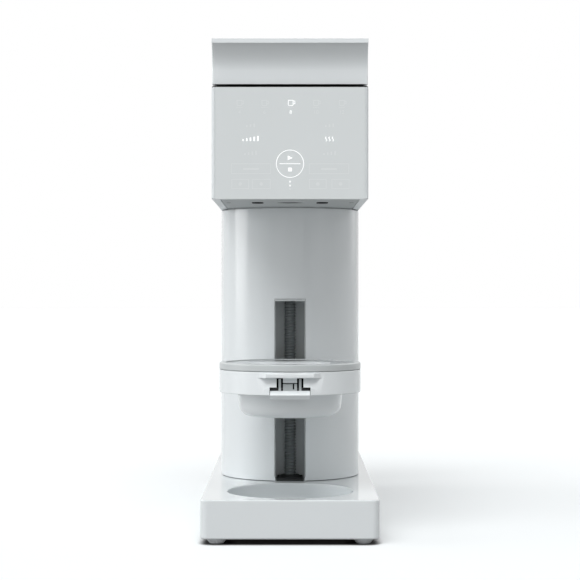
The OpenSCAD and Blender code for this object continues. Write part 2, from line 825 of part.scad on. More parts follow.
module head_shell() color(pale) difference() {
    union() {
        difference() {
            translate([0, head_mid_y, head_z0]) slab(body_w, head_d, head_h, head_edge_r);
            translate([-(column_r - head_wall), inside_y, floor_z1])
                cube([body_w - 2 * head_wall, back_y - head_wall - inside_y, head_h]);
            translate([-(under_half - ledge_in), under_y0 + ledge_in, head_z0])
                cube([2 * (under_half - ledge_in), under_y1 - under_y0 - 2 * ledge_in, head_h]);
        }
        for (sx = [-1, 1]) translate([sx * spout_screw_x, cup_y, spout_z1])
            cylinder(r = boss_r, h = screw_len);
    }
    translate([-panel_half, front_y - cut, head_z0 - cut])
        cube([2 * panel_half, panel_t + cut, head_h + 2 * cut]);
    translate([-under_half, under_y0, head_z0 - cut])
        cube([2 * under_half, under_y1 - under_y0, spout_z1 - head_z0 + cut]);
    for (sx = [-1, 1])
        translate([sx * spout_screw_x, cup_y, spout_z1 - cut])
            cylinder(r = screw_r + run_fit, h = screw_len);
}

module control_panel() color(panel_grey) translate([-(panel_half - fit), front_y, head_z0])
    cube([2 * (panel_half - fit), panel_t, head_h]);

module touch_board() color(board_green)
    translate([-(panel_half - touch_margin), inside_y, floor_z1 + touch_floor_gap])
    cube([2 * (panel_half - touch_margin), board_t, deck_z0 - touch_deck_gap - floor_z1 - touch_floor_gap]);

module spout_plate() color(panel_grey) difference() {
    translate([0, 0, spout_z0]) linear_extrude(spout_plate_t) difference() {
        translate([-(under_half - fit), under_y0 + fit])
            square([2 * (under_half - fit), column_y - spout_plate_rear - under_y0]);
        translate([0, column_y]) circle(column_r + slide_fit);
    }
    translate([0, cup_y, spout_z0 - cut]) cylinder(d = outlet_d + 2 * fit, h = spout_plate_t + 2 * cut);
    for (sx = [-1, 1]) {
        translate([sx * spout_screw_x, cup_y, spout_z0 - cut])
            cylinder(r = spout_screw_head_r + fit, h = screw_head_h + cut);
        translate([sx * spout_screw_x, cup_y, spout_z0 - cut])
            cylinder(r = screw_r + fit, h = spout_plate_t + 2 * cut);
        translate([sx * vent_x, cup_y, spout_z0 - cut]) cylinder(r = vent_r, h = spout_plate_t + 2 * cut);
    }
}

module spout_screws() color(steel) for (sx = [-1, 1]) translate([sx * spout_screw_x, cup_y, spout_z0]) {
    cylinder(r = spout_screw_head_r, h = screw_head_h);
    cylinder(r = screw_r, h = spout_plate_t + screw_len - 2 * cut);
}

module brew_outlet() color(dark_grey) translate([0, cup_y, spout_z0 - outlet_drop]) difference() {
    union() {
        cylinder(d = outlet_d, h = chamber_z0 - spout_z0 + outlet_drop);
        translate([0, 0, spout_z1 - spout_z0 + outlet_drop])
            cylinder(r = outlet_flange_r, h = outlet_flange_t);
    }
    translate([0, 0, -cut])
        cylinder(d = outlet_d - 2 * outlet_wall, h = chamber_z0 - spout_z0 + outlet_drop + 2 * cut);
}

module head_deck() color(black) difference() {
    translate([-(column_r - head_wall - fit), inside_y + fit, deck_z0])
        cube([body_w - 2 * (head_wall + fit), back_y - head_wall - inside_y - 2 * fit, deck_t]);
    translate([0, cup_y, deck_z0 - cut]) cylinder(r = pod_r + pod_wall + fit, h = deck_t + 2 * cut);
    translate([0, cup_y, head_z1 - pod_flange_t])
        cylinder(r = pod_r + pod_flange_w + fit, h = pod_flange_t + cut);
    translate([0, port_y, deck_z0 - cut]) cylinder(r = port_r + run_fit, h = deck_t + 2 * cut);
}

module rear_housing() color(pale) difference() {
    union() {
        difference() {
            across(body_w) translate([hinge_y + hinge_gap, head_z1])
                square([back_y - hinge_y - hinge_gap, lid_z1 - head_z1]);
            translate([0, hinge_y, hinge_z]) cross_bar(hinge_r + hinge_gap, body_w + 2 * cut);
            translate([-column_r - cut, hinge_y, hinge_z])
                cube([body_w + 2 * cut, hinge_r + hinge_gap, hinge_r + cut]);
        }
        for (sx = [-1, 1]) translate([sx * lug_x, hinge_y, hinge_z]) {
            cross_bar(hinge_r, lug_w);
            translate([-lug_w / 2, 0, -hinge_r]) cube([lug_w, hinge_r + hinge_gap + sink, hinge_r]);
        }
    }
    translate([-(column_r - head_wall), hinge_y + hinge_r + hinge_gap + head_wall, head_z1 - cut])
        cube([body_w - 2 * head_wall, back_y - hinge_y - hinge_r - hinge_gap - 2 * head_wall,
              lid_z1 - head_z1 - head_wall + cut]);
    translate([0, hinge_y, hinge_z]) cross_bar(hinge_pin_d / 2 + run_fit, body_w);
}

module brew_chamber() color(dark_grey) translate([0, cup_y, chamber_z0]) difference() {
    cylinder(r = chamber_r, h = deck_z0 - chamber_z0);
    translate([0, 0, pod_wall]) cylinder(r = chamber_r - pod_wall, h = deck_z0 - chamber_z0);
    translate([0, 0, -cut]) cylinder(d = outlet_d - 2 * outlet_wall, h = pod_wall + 2 * cut);
}

module pod_holder() color(dark_grey) translate([0, cup_y, pod_z0]) difference() {
    union() {
        translate([0, 0, -pod_wall])
            cylinder(r1 = pod_r + pod_wall - pod_taper, r2 = pod_r + pod_wall, h = pod_depth + pod_wall);
        translate([0, 0, pod_depth - pod_flange_t]) cylinder(r = pod_r + pod_flange_w, h = pod_flange_t);
    }
    cylinder(r1 = pod_r - pod_taper, r2 = pod_r, h = pod_depth);
    translate([0, 0, pod_depth - sink]) cylinder(r = pod_r, h = sink + cut);
    translate([0, 0, -pod_wall - cut]) cylinder(d = nipple_d + 2 * run_fit, h = pod_wall + 2 * cut);
}

module lower_needle() color(steel) translate([0, cup_y, pod_z0]) difference() {
    union() {
        translate([0, 0, -pod_wall - needle_foot])
            cylinder(d = nipple_d, h = pod_wall + needle_foot + sink);
        cylinder(r = nipple_d / 2 + needle_flange_w, h = needle_flange_t);
        cylinder(r1 = needle_root_r, r2 = needle_tip_r, h = lower_needle_l);
    }
    translate([0, 0, -pod_wall - needle_foot - cut])
        cylinder(r = needle_bore_r, h = pod_wall + needle_foot + lower_needle_l + 2 * cut);
}

module water_port() color(hose_white) translate([0, port_y, deck_z0 - port_flange_t]) difference() {
    union() {
        cylinder(r = port_r + port_flange_w, h = port_flange_t);
        cylinder(r = port_r, h = lid_z0 - slide_fit - deck_z0 + port_flange_t);
        translate([0, 0, -nipple_l]) cylinder(d = nipple_d, h = nipple_l + sink);
    }
    translate([0, 0, -nipple_l - cut])
        cylinder(d = nipple_bore_d, h = lid_z0 - deck_z0 + port_flange_t + nipple_l + 2 * cut);
}

// Lid

module lid_shell() color(pale) difference() {
    union() {
        across(body_w) {
            translate([lid_face_y, lid_z0]) square([lid_back_y - lid_face_y, lid_h]);
            translate([front_y, lip_z0]) square([lip_reach + sink, lip_t]);
            // Hollow curve from the lid's face out to the lip
            difference() {
                translate([front_y, lip_z0 - cove_h]) square([lip_reach + sink, cove_h + sink]);
                translate([lid_face_y - cove_r, lip_z0 - cove_h]) circle(cove_r);
            }
        }
        translate([0, hinge_y, hinge_z]) cross_bar(hinge_r, body_w);
    }
    translate([-(column_r - lid_wall), lid_face_y + lid_wall, lid_z0 - cut])
        cube([body_w - 2 * lid_wall, lid_room_back_y - lid_face_y - lid_wall, lid_h - lid_wall + cut]);
    for (sx = [-1, 1])
        translate([sx * lug_x, hinge_y, hinge_z]) cross_bar(hinge_r + hinge_gap, lug_w + 2 * slide_fit);
    translate([0, hinge_y, hinge_z]) cross_bar(hinge_pin_d / 2 + run_fit, body_w - 2 * pin_inset + fit);
}

module lid_liner() color(black) difference() {
    translate([-(column_r - lid_wall - fit), lid_face_y + lid_wall + fit, lid_z0])
        cube([body_w - 2 * (lid_wall + fit), lid_room_back_y - lid_face_y - lid_wall - 2 * fit, liner_t]);
    translate([0, cup_y, lid_z0 - cut]) cylinder(d = nipple_d + 2 * run_fit, h = liner_t + 2 * cut);
    translate([0, port_y, lid_z0 - cut]) cylinder(d = nipple_bore_d, h = liner_t + 2 * cut);
}

module upper_needle() color(steel) translate([0, cup_y, lid_z0]) difference() {
    union() {
        translate([0, 0, -sink]) cylinder(d = nipple_d, h = liner_t + upper_needle_rise + sink);
        translate([0, 0, -seal_t]) cylinder(r = nipple_d / 2 + upper_needle_flange_w, h = seal_t);
        translate([0, 0, -upper_needle_l])
            cylinder(r1 = upper_needle_tip_r, r2 = upper_needle_root_r, h = upper_needle_l);
    }
    translate([0, 0, -upper_needle_l - cut])
        cylinder(r = upper_needle_bore_r, h = upper_needle_l + liner_t + upper_needle_rise + 2 * cut);
}

module pod_seal() color(dark_grey) translate([0, cup_y, lid_z0 - seal_t])
    tube(pod_r - seal_inset, pod_r - seal_inset - seal_ring_w, seal_t);

module lid_pin() color(steel) translate([0, hinge_y, hinge_z])
    cross_bar(hinge_pin_d / 2, body_w - 2 * pin_inset);

// Water path

module water_pump() color(dark_grey) translate([0, water_y, 0]) {
    translate([0, 0, base_top]) tube(pump_d / 2, pump_d / 2 - pedestal_wall, pedestal_h + sink);
    translate([0, 0, pump_z0]) cylinder(d = pump_d, h = pump_h);
    translate([0, 0, pump_z0 - nipple_l]) cylinder(d = nipple_d, h = pump_h + 2 * nipple_l);
}

module heater_block() color(steel) translate([0, water_y, 0]) {
    translate([0, 0, heater_z0]) cylinder(d = heater_d, h = heater_h);
    translate([0, 0, heater_z0 - nipple_l]) cylinder(d = nipple_d, h = heater_h + 2 * nipple_l);
    for (z = [heater_z0 + ear_inset, heater_z1 - ear_inset - ear_t])
        translate([-ear_w / 2, 0, z]) cube([ear_w, back_y - column_wall - water_y, ear_t]);
}

module main_board() color(board_green)
    translate([board_x0, back_y - column_wall - board_peg_l - board_t, board_z0])
        cube([board_w, board_t, board_h]);

module inlet_route(r, over) {
    y0 = tank_y - socket_r - hose_end + over;
    turn_y = water_y + hose_bend;
    translate([0, y0, hose_z]) rotate([90, 0, 0]) cylinder(r = r, h = y0 - turn_y);
    translate([0, turn_y, hose_z + hose_bend]) bend(r, -90);
    translate([0, water_y, hose_z + hose_bend])
        cylinder(r = r, h = pump_z0 - hose_end + over - hose_z - hose_bend);
}

module inlet_hose() color(hose_white) difference() {
    inlet_route(hose_d / 2, 0);
    inlet_route(hose_bore_r, cut);
}

module pressure_hose() color(hose_white) translate([0, water_y, pump_z1 + hose_end])
    tube(hose_d / 2, hose_bore_r, feed_gap - 2 * hose_end);

module brew_route(r, over) {
    z0 = heater_z1 + hose_end - over;
    z1 = deck_z0 - port_flange_t - hose_end + over;
    translate([0, water_y, z0]) cylinder(r = r, h = run_z - hose_bend - z0);
    translate([0, water_y - hose_bend, run_z - hose_bend]) bend(r, 90);
    translate([0, water_y - hose_bend, run_z])
        rotate([90, 0, 0]) cylinder(r = r, h = water_y - port_y - 2 * hose_bend);
    translate([0, port_y + hose_bend, run_z + hose_bend]) bend(r, -90);
    translate([0, port_y, run_z + hose_bend]) cylinder(r = r, h = z1 - run_z - hose_bend);
}

module brew_hose() color(hose_white) difference() {
    brew_route(hose_d / 2, 0);
    brew_route(hose_bore_r, cut);
}

module tank_socket() color(black) translate([0, tank_y, 0]) difference() {
    union() {
        translate([0, 0, plate_top + sink]) cylinder(r = socket_r, h = base_top - plate_top);
        translate([0, 0, base_top]) cylinder(r = socket_flange_r, h = socket_flange_t);
        translate([0, 0, hose_z]) rotate([90, 0, 0]) cylinder(d = nipple_d, h = socket_r + nipple_l);
    }
    translate([0, 0, tank_z0 - valve_drop - cut])
        cylinder(r = valve_d / 2 + seal_w + run_fit, h = valve_drop + 2 * cut);
    translate([0, 0, hose_z]) rotate([90, 0, 0]) cylinder(d = nipple_bore_d, h = socket_r + nipple_l + cut);
    translate([0, 0, hose_z]) cylinder(d = nipple_bore_d, h = base_h);
}

module socket_seal() color(dark_grey) translate([0, tank_y, tank_z0 - valve_drop + socket_seal_rise])
    tube(valve_d / 2 + seal_w, valve_d / 2 + run_fit, socket_seal_h);

module water_tank() color(smoke) difference() {
    union() {
        translate([0, tank_y, tank_z0]) difference() {
            slab(tank_w, tank_d, tank_h, tank_corner_r);
            translate([0, 0, tank_wall])
                slab(tank_w - 2 * tank_wall, tank_d - 2 * tank_wall, tank_h, tank_corner_r - tank_wall);
            translate([0, 0, -cut]) cylinder(r = valve_d / 2 + fit, h = tank_wall + 2 * cut);
        }
        for (sx = [-1, 1]) translate([sx * tank_lug_x, tank_hinge_y, tank_hinge_z]) {
            cross_bar(tank_barrel_r, tank_lug_w);
            translate([-tank_lug_w / 2, tank_back_y - sink - tank_hinge_y, -tank_lug_h])
                cube([tank_lug_w, tank_hinge_y + cut - tank_back_y + sink, tank_lug_h]);
        }
    }
    translate([0, tank_hinge_y, tank_hinge_z]) cross_bar(tank_pin_d / 2 + run_fit, tank_w);
}

module tank_valve() color(dark_grey) translate([0, tank_y, tank_z0]) difference() {
    union() {
        translate([0, 0, -valve_drop]) cylinder(d = valve_d, h = valve_drop + tank_wall + valve_rise);
        translate([0, 0, tank_wall]) cylinder(r = valve_d / 2 + valve_flange_w, h = valve_flange_t);
    }
    translate([0, 0, -valve_drop - cut])
        cylinder(d = nipple_d, h = valve_drop + tank_wall + valve_rise + 2 * cut);
}

module tank_hinge_pin() color(steel) translate([0, tank_hinge_y, tank_hinge_z])
    cross_bar(tank_pin_d / 2, 2 * tank_lug_x + tank_lug_w);

module tank_lid() color(dark_grey) difference() {
    knuckle_w = 2 * tank_lug_x - tank_lug_w - 4 * fit;
    union() {
        difference() {
            translate([0, tank_y, tank_z1 + fit]) slab(tank_w, tank_d, tank_lid_t, tank_corner_r);
            translate([-tank_w / 2, tank_hinge_y - tank_barrel_r - tank_lid_relief, tank_z1])
                cube([tank_w, tank_d, tank_lid_t + cut]);
        }
        translate([0, tank_y, tank_z1 - skirt_h])
            slab(tank_w - 2 * skirt_inset, tank_d - 2 * skirt_inset, skirt_h + fit + sink,
                 tank_corner_r - skirt_inset);
        translate([0, tank_hinge_y, tank_hinge_z]) cross_bar(tank_barrel_r, knuckle_w);
        translate([-knuckle_w / 2, tank_hinge_y - tank_barrel_r - knuckle_root, tank_z1 + fit])
            cube([knuckle_w, tank_barrel_r + knuckle_root, tank_lid_t]);
    }
    translate([0, tank_hinge_y, tank_hinge_z]) cross_bar(tank_pin_d / 2 + run_fit, knuckle_w + 2 * cut);
}

base_shell();
base_plate();
rubber_feet();
base_screws();
cord_gland();
column_shell();
column_back();
column_screws();
slot_liner();
lower_screw_bearing();
upper_screw_bearing();
motor_bracket();
lift_motor();
lead_screw();
shaft_coupling();
motor_shaft();
lift_carriage();
lift_nut();
tray_ring();
drip_bowl();
cup_platform();
latch_pin();
tray_latch();
drip_grate();
head_shell();
control_panel();
touch_board();
spout_plate();
spout_screws();
brew_outlet();
head_deck();
rear_housing();
brew_chamber();
pod_holder();
lower_needle();
water_port();
lid_shell();
lid_liner();
upper_needle();
pod_seal();
lid_pin();
water_pump();
heater_block();
main_board();
inlet_hose();
pressure_hose();
brew_hose();
tank_socket();
socket_seal();
water_tank();
tank_valve();
tank_hinge_pin();
tank_lid();
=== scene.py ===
"""Looks of a single serve coffee maker: shells, lift tray, touch panel, water tank, light and camera."""

import logging
import math
from dataclasses import dataclass, field
from enum import Enum
from typing import Any, Callable, Iterable, Sequence

import bpy
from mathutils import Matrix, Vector


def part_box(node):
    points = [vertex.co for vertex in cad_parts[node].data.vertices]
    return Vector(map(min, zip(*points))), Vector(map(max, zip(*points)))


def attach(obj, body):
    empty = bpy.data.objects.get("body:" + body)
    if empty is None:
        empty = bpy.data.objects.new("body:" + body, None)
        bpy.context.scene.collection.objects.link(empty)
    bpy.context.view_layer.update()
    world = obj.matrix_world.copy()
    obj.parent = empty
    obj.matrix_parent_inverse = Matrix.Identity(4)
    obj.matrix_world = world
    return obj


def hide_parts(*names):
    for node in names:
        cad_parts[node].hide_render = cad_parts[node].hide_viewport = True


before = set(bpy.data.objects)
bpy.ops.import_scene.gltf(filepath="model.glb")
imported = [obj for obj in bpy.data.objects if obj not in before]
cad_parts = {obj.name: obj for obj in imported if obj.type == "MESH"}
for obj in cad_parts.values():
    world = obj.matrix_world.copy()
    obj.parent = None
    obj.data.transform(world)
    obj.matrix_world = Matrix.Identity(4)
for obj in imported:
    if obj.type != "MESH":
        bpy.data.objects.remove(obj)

LOG = logging.getLogger("coffee_maker")
MM = 0.001
SEGMENTS = 128
OVERSHOOT = 2.0 * MM
TOUCH = 0.01 * MM
MERGE = 0.0005 * MM
PIN_PLAY = 0.05 * MM
SMOOTH_ANGLE = math.radians(40.0)
SIDES = (-1, 1)
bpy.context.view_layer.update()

Flat = tuple[float, float]
Place = Flat | str
Colour = tuple[float, float, float]
Point = Sequence[float]
Inputs = dict[str | int, Any]


def middle(node: str) -> Vector:
    """Returns the middle of a node's box."""
    low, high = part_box(node)
    return (low + high) / 2


def span(centre: float, half: float) -> Flat:
    """Returns the two ends of a length about its centre."""
    return centre - half, centre + half


def beyond(start: float, end: float) -> Flat:
    """Returns the two ends of a cutter that reaches a little past what it cuts."""
    return start - OVERSHOOT, end + OVERSHOOT


def linear(channel: float) -> float:
    """Returns a display colour channel from 0 to 255 as linear light."""
    share = channel / 255.0
    if share <= 0.04045:
        return share / 12.92
    return ((share + 0.055) / 1.055) ** 2.4


def arc(centre: Flat, radius: float, start: float, stop: float, steps: int = 8) -> list[Flat]:
    """Draws the points of an arc.

    Args:
        centre: Middle of the arc.
        radius: Radius of the arc.
        start: First angle in degrees.
        stop: Last angle in degrees.
        steps: Number of chords.

    Returns:
        The points from start to stop, both included.
    """
    turns = [math.radians(start + (stop - start) * i / steps) for i in range(steps + 1)]
    return [(centre[0] + radius * math.cos(t), centre[1] + radius * math.sin(t)) for t in turns]


class Axis(Enum):
    """Direction of an extrusion: the places of its two drawn axes and of its depth."""

    X = (1, 2, 0)
    Y = (0, 2, 1)
    Z = (0, 1, 2)

    def place(self, u: float, v: float, depth: float) -> Vector:
        """Returns the point at (u, v) in the drawing plane and at depth along the axis."""
        point = Vector((0.0, 0.0, 0.0))
        first, second, third = self.value
        point[first], point[second], point[third] = u, v, depth
        return point

    def spot(self, where: Place) -> Flat:
        """Returns a point of the drawing plane, or the middle of a named node in it."""
        if not isinstance(where, str):
            return where
        point = middle(where)
        return point[self.value[0]], point[self.value[1]]


class Wiring:
    """The node tree of a material or a world, filled one node at a time."""

    def __init__(self, owner: bpy.types.ID) -> None:
        """Turns on the owner's nodes."""
        owner.use_nodes = True
        self.tree = owner.node_tree

    def feed(self, node: bpy.types.Node, inputs: Inputs) -> None:
        """Sets a node's sockets to constants, or links other nodes' outputs to them."""
        for key, value in inputs.items():
            if isinstance(value, bpy.types.NodeSocket):
                self.tree.links.new(value, node.inputs[key])
            else:
                node.inputs[key].default_value = value

    def add(self, kind: str, output: str, inputs: Inputs, **settings: str) -> bpy.types.NodeSocket:
        """Adds a node.

        Args:
            kind: Type of the node, without the prefix that all of them share.
            output: Name of the output that is wanted.
            inputs: Constants or outputs for its sockets.
            **settings: The node's own properties.

        Returns:
            The wanted output.
        """
        node = self.tree.nodes.new("ShaderNode" + kind)
        for key, value in settings.items():
            setattr(node, key, value)
        self.feed(node, inputs)
        return node.outputs[output]


class Grain(Enum):
    """Surface grain of a finish: spread of the pattern along X, Y and Z."""

    FINE = (1.0, 1.0, 1.0)
    TURNED = (1.0, 1.0, 0.05)
    BRUSHED = (0.04, 1.0, 1.0)


@dataclass(frozen=True)
class Finish:
    """One surface finish, built as a procedural material.

    The colour is as displayed, from 0 to 255. Roughness and colour wander a little over the surface, and a
    fine grain lifts it.
    """

    name: str
    slot: str
    colour: Colour
    roughness: float
    metallic: float = 0.0
    grain: Grain = Grain.FINE
    grain_size: float = 0.35 * MM
    grain_height: float = 0.012 * MM
    grain_strength: float = 0.5
    wander: float = 0.006
    rough_sway: float = 6.0
    patch: float = 30.0 * MM
    detail: float = 3.0
    specular: float = 0.5
    coat: float = 0.0
    see_through: float = 0.0
    glow: float = 0.0

    def material(self) -> bpy.types.Material:
        """Returns this finish's material, made on first use."""
        made = bpy.data.materials.get(self.name)
        if made is not None:
            return made
        made = bpy.data.materials.new(self.name)
        wiring = Wiring(made)
        shader = wiring.tree.nodes["Principled BSDF"]
        base = tuple(linear(channel) for channel in self.colour)
        constants = {
            "Metallic": self.metallic,
            "Specular IOR Level": self.specular,
            "Coat Weight": self.coat,
            "Transmission Weight": self.see_through,
        }
        if self.glow:
            constants |= {"Emission Color": (*base, 1.0), "Emission Strength": self.glow}
        wiring.feed(shader, constants)
        self._wander(wiring, shader, base)
        self._lift(wiring, shader)
        return made

    def _noise(self, wiring: Wiring, size: float, spread: Point) -> bpy.types.NodeSocket:
        """Adds a noise of the given size on the piece's own coordinates."""
        place = wiring.add("TexCoord", "Object", {})
        mapped = wiring.add("Mapping", "Vector", {"Vector": place, "Scale": spread})
        return wiring.add("TexNoise", "Fac", {"Vector": mapped, "Scale": 1.0 / size, "Detail": self.detail})

    def _wander(self, wiring: Wiring, shader: bpy.types.Node, base: Colour) -> None:
        """Lets colour and roughness wander slowly over the surface."""
        patch = self._noise(wiring, self.patch, Grain.FINE.value)
        darker = (*(c * (1.0 - self.wander) for c in base), 1.0)
        lighter = (*(min(1.0, c * (1.0 + self.wander)) for c in base), 1.0)
        sway = self.rough_sway * self.wander
        smoother = self.roughness * (1.0 - sway)
        rougher = min(1.0, self.roughness * (1.0 + sway))
        colour = wiring.add("Mix", "Result", {"Factor": patch, "A": darker, "B": lighter}, data_type="RGBA")
        rough = wiring.add("MapRange", "Result", {"Value": patch, "To Min": smoother, "To Max": rougher})
        wiring.feed(shader, {"Base Color": colour, "Roughness": rough})

    def _lift(self, wiring: Wiring, shader: bpy.types.Node) -> None:
        """Lifts the fine grain of the surface."""
        grain = self._noise(wiring, self.grain_size, self.grain.value)
        lift = {"Height": grain, "Strength": self.grain_strength, "Distance": self.grain_height}
        wiring.feed(shader, {"Normal": wiring.add("Bump", "Normal", lift)})

    def coat_piece(self, piece: bpy.types.Object) -> None:
        """Makes this the piece's only material."""
        piece.data.materials.clear()
        piece.data.materials.append(self.material())

    def coat_node(self, node: str) -> None:
        """Puts this finish in a carried-over node's material slots."""
        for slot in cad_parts[node].material_slots:
            slot.material = self.material()


SATIN = 0.0015 * MM
GRAINED = 0.02 * MM
PALE = Finish("pale_satin_plastic", "pale_shell", (221, 226, 228), 0.17, grain_height=SATIN)
PALE_GLOSS = Finish("pale_gloss_plastic", "pale_shell", (212, 217, 219), 0.07, grain_height=0.0005 * MM)
PALE_SOFT = Finish("pale_soft_plastic", "pale_shell", (217, 222, 224), 0.4, specular=0.2, grain_height=SATIN)
# A darker copy of the pale plastic for the cup platform: painted shadow, as of a cup standing on it.
PALE_CUP_SHADOW = Finish("pale_plastic_painted_cup_shadow", "pale_shell", (183, 188, 189), 0.3, grain_height=SATIN)
# A darker, matt copy of the pale plastic: painted shade for the spout plate under the head and the latch's
# prongs.
PALE_SHADED = Finish("pale_matt_plastic_painted_shade", "pale_shell", (184, 189, 190), 0.6, specular=0.12)
PALE_TOP = Finish("pale_lip_plastic", "pale_shell", (224, 229, 231), 0.24, grain_height=2 * SATIN)
PANEL = Finish(
    "panel_satin_film", "control_panel", (211, 216, 217), 0.28, coat=0.1, grain_height=2 * SATIN, wander=0.003
)
LIT = Finish("lit_mark", "control_panel", (252, 254, 255), 0.5, glow=0.3)
DIM = Finish("dim_mark", "control_panel", (219, 223, 224), 0.5)
LINER = Finish("grey_liner_plastic", "dark_channel", (206, 211, 212), 0.5, grain_height=GRAINED)
DARK = Finish("dark_moulded_plastic", "dark_channel", (104, 108, 109), 0.5, grain_height=GRAINED)
GREY = Finish("grey_outlet_plastic", "dark_channel", (112, 116, 117), 0.45)
SHADE = Finish("shaded_opening", "black_plastic", (9, 10, 11), 0.9, specular=0.05)
# Dark grey, lighter than the black plastic it stands for: painted light, so the shaded foot of the slot reads
# less black.
LIFTED_BLACK = Finish("bearing_plastic_painted_light", "black_plastic", (50, 52, 53), 0.7, specular=0.1)
BLACK = Finish("black_moulded_plastic", "black_plastic", (18, 19, 20), 0.5)
THREAD = Finish("black_oxide_thread", "black_steel", (104, 109, 110), 0.5, grain=Grain.TURNED)
RUBBER = Finish("grey_rubber", "rubber", (206, 211, 213), 0.8, grain_height=2 * GRAINED, grain_size=0.5 * MM)
STEEL = Finish("brushed_steel", "steel", (186, 189, 191), 0.32, metallic=1.0, grain=Grain.BRUSHED)
BRASS = Finish("turned_brass", "brass", (201, 170, 104), 0.3, metallic=1.0, grain=Grain.TURNED)
BOARD = Finish("lacquered_board", "circuit_board", (38, 96, 66), 0.35)
HOSE = Finish("milky_silicone", "hose", (232, 232, 226), 0.5)
SMOKE = Finish(
    "smoke_clear_plastic", "smoke_tank", (176, 186, 192), 0.08, see_through=0.92, grain_height=0.002 * MM
)

NODE_FINISHES: dict[Finish, tuple[str, ...]] = {
    PALE: ("column_back",),
    DARK: ("lift_carriage", "brew_chamber", "water_pump", "tank_valve"),
    BLACK: ("base_plate", "head_deck", "lid_liner", "tank_socket", "latch_pin"),
    RUBBER: ("socket_seal",),
    STEEL: (
        "base_screws", "column_screws", "motor_bracket", "lift_motor", "shaft_coupling", "motor_shaft",
        "lid_pin", "tank_hinge_pin", "lower_needle", "upper_needle", "heater_block",
    ),
    BRASS: ("upper_screw_bearing", "lift_nut"),
    BOARD: ("touch_board", "main_board"),
    HOSE: ("inlet_hose", "pressure_hose", "brew_hose", "water_port"),
}


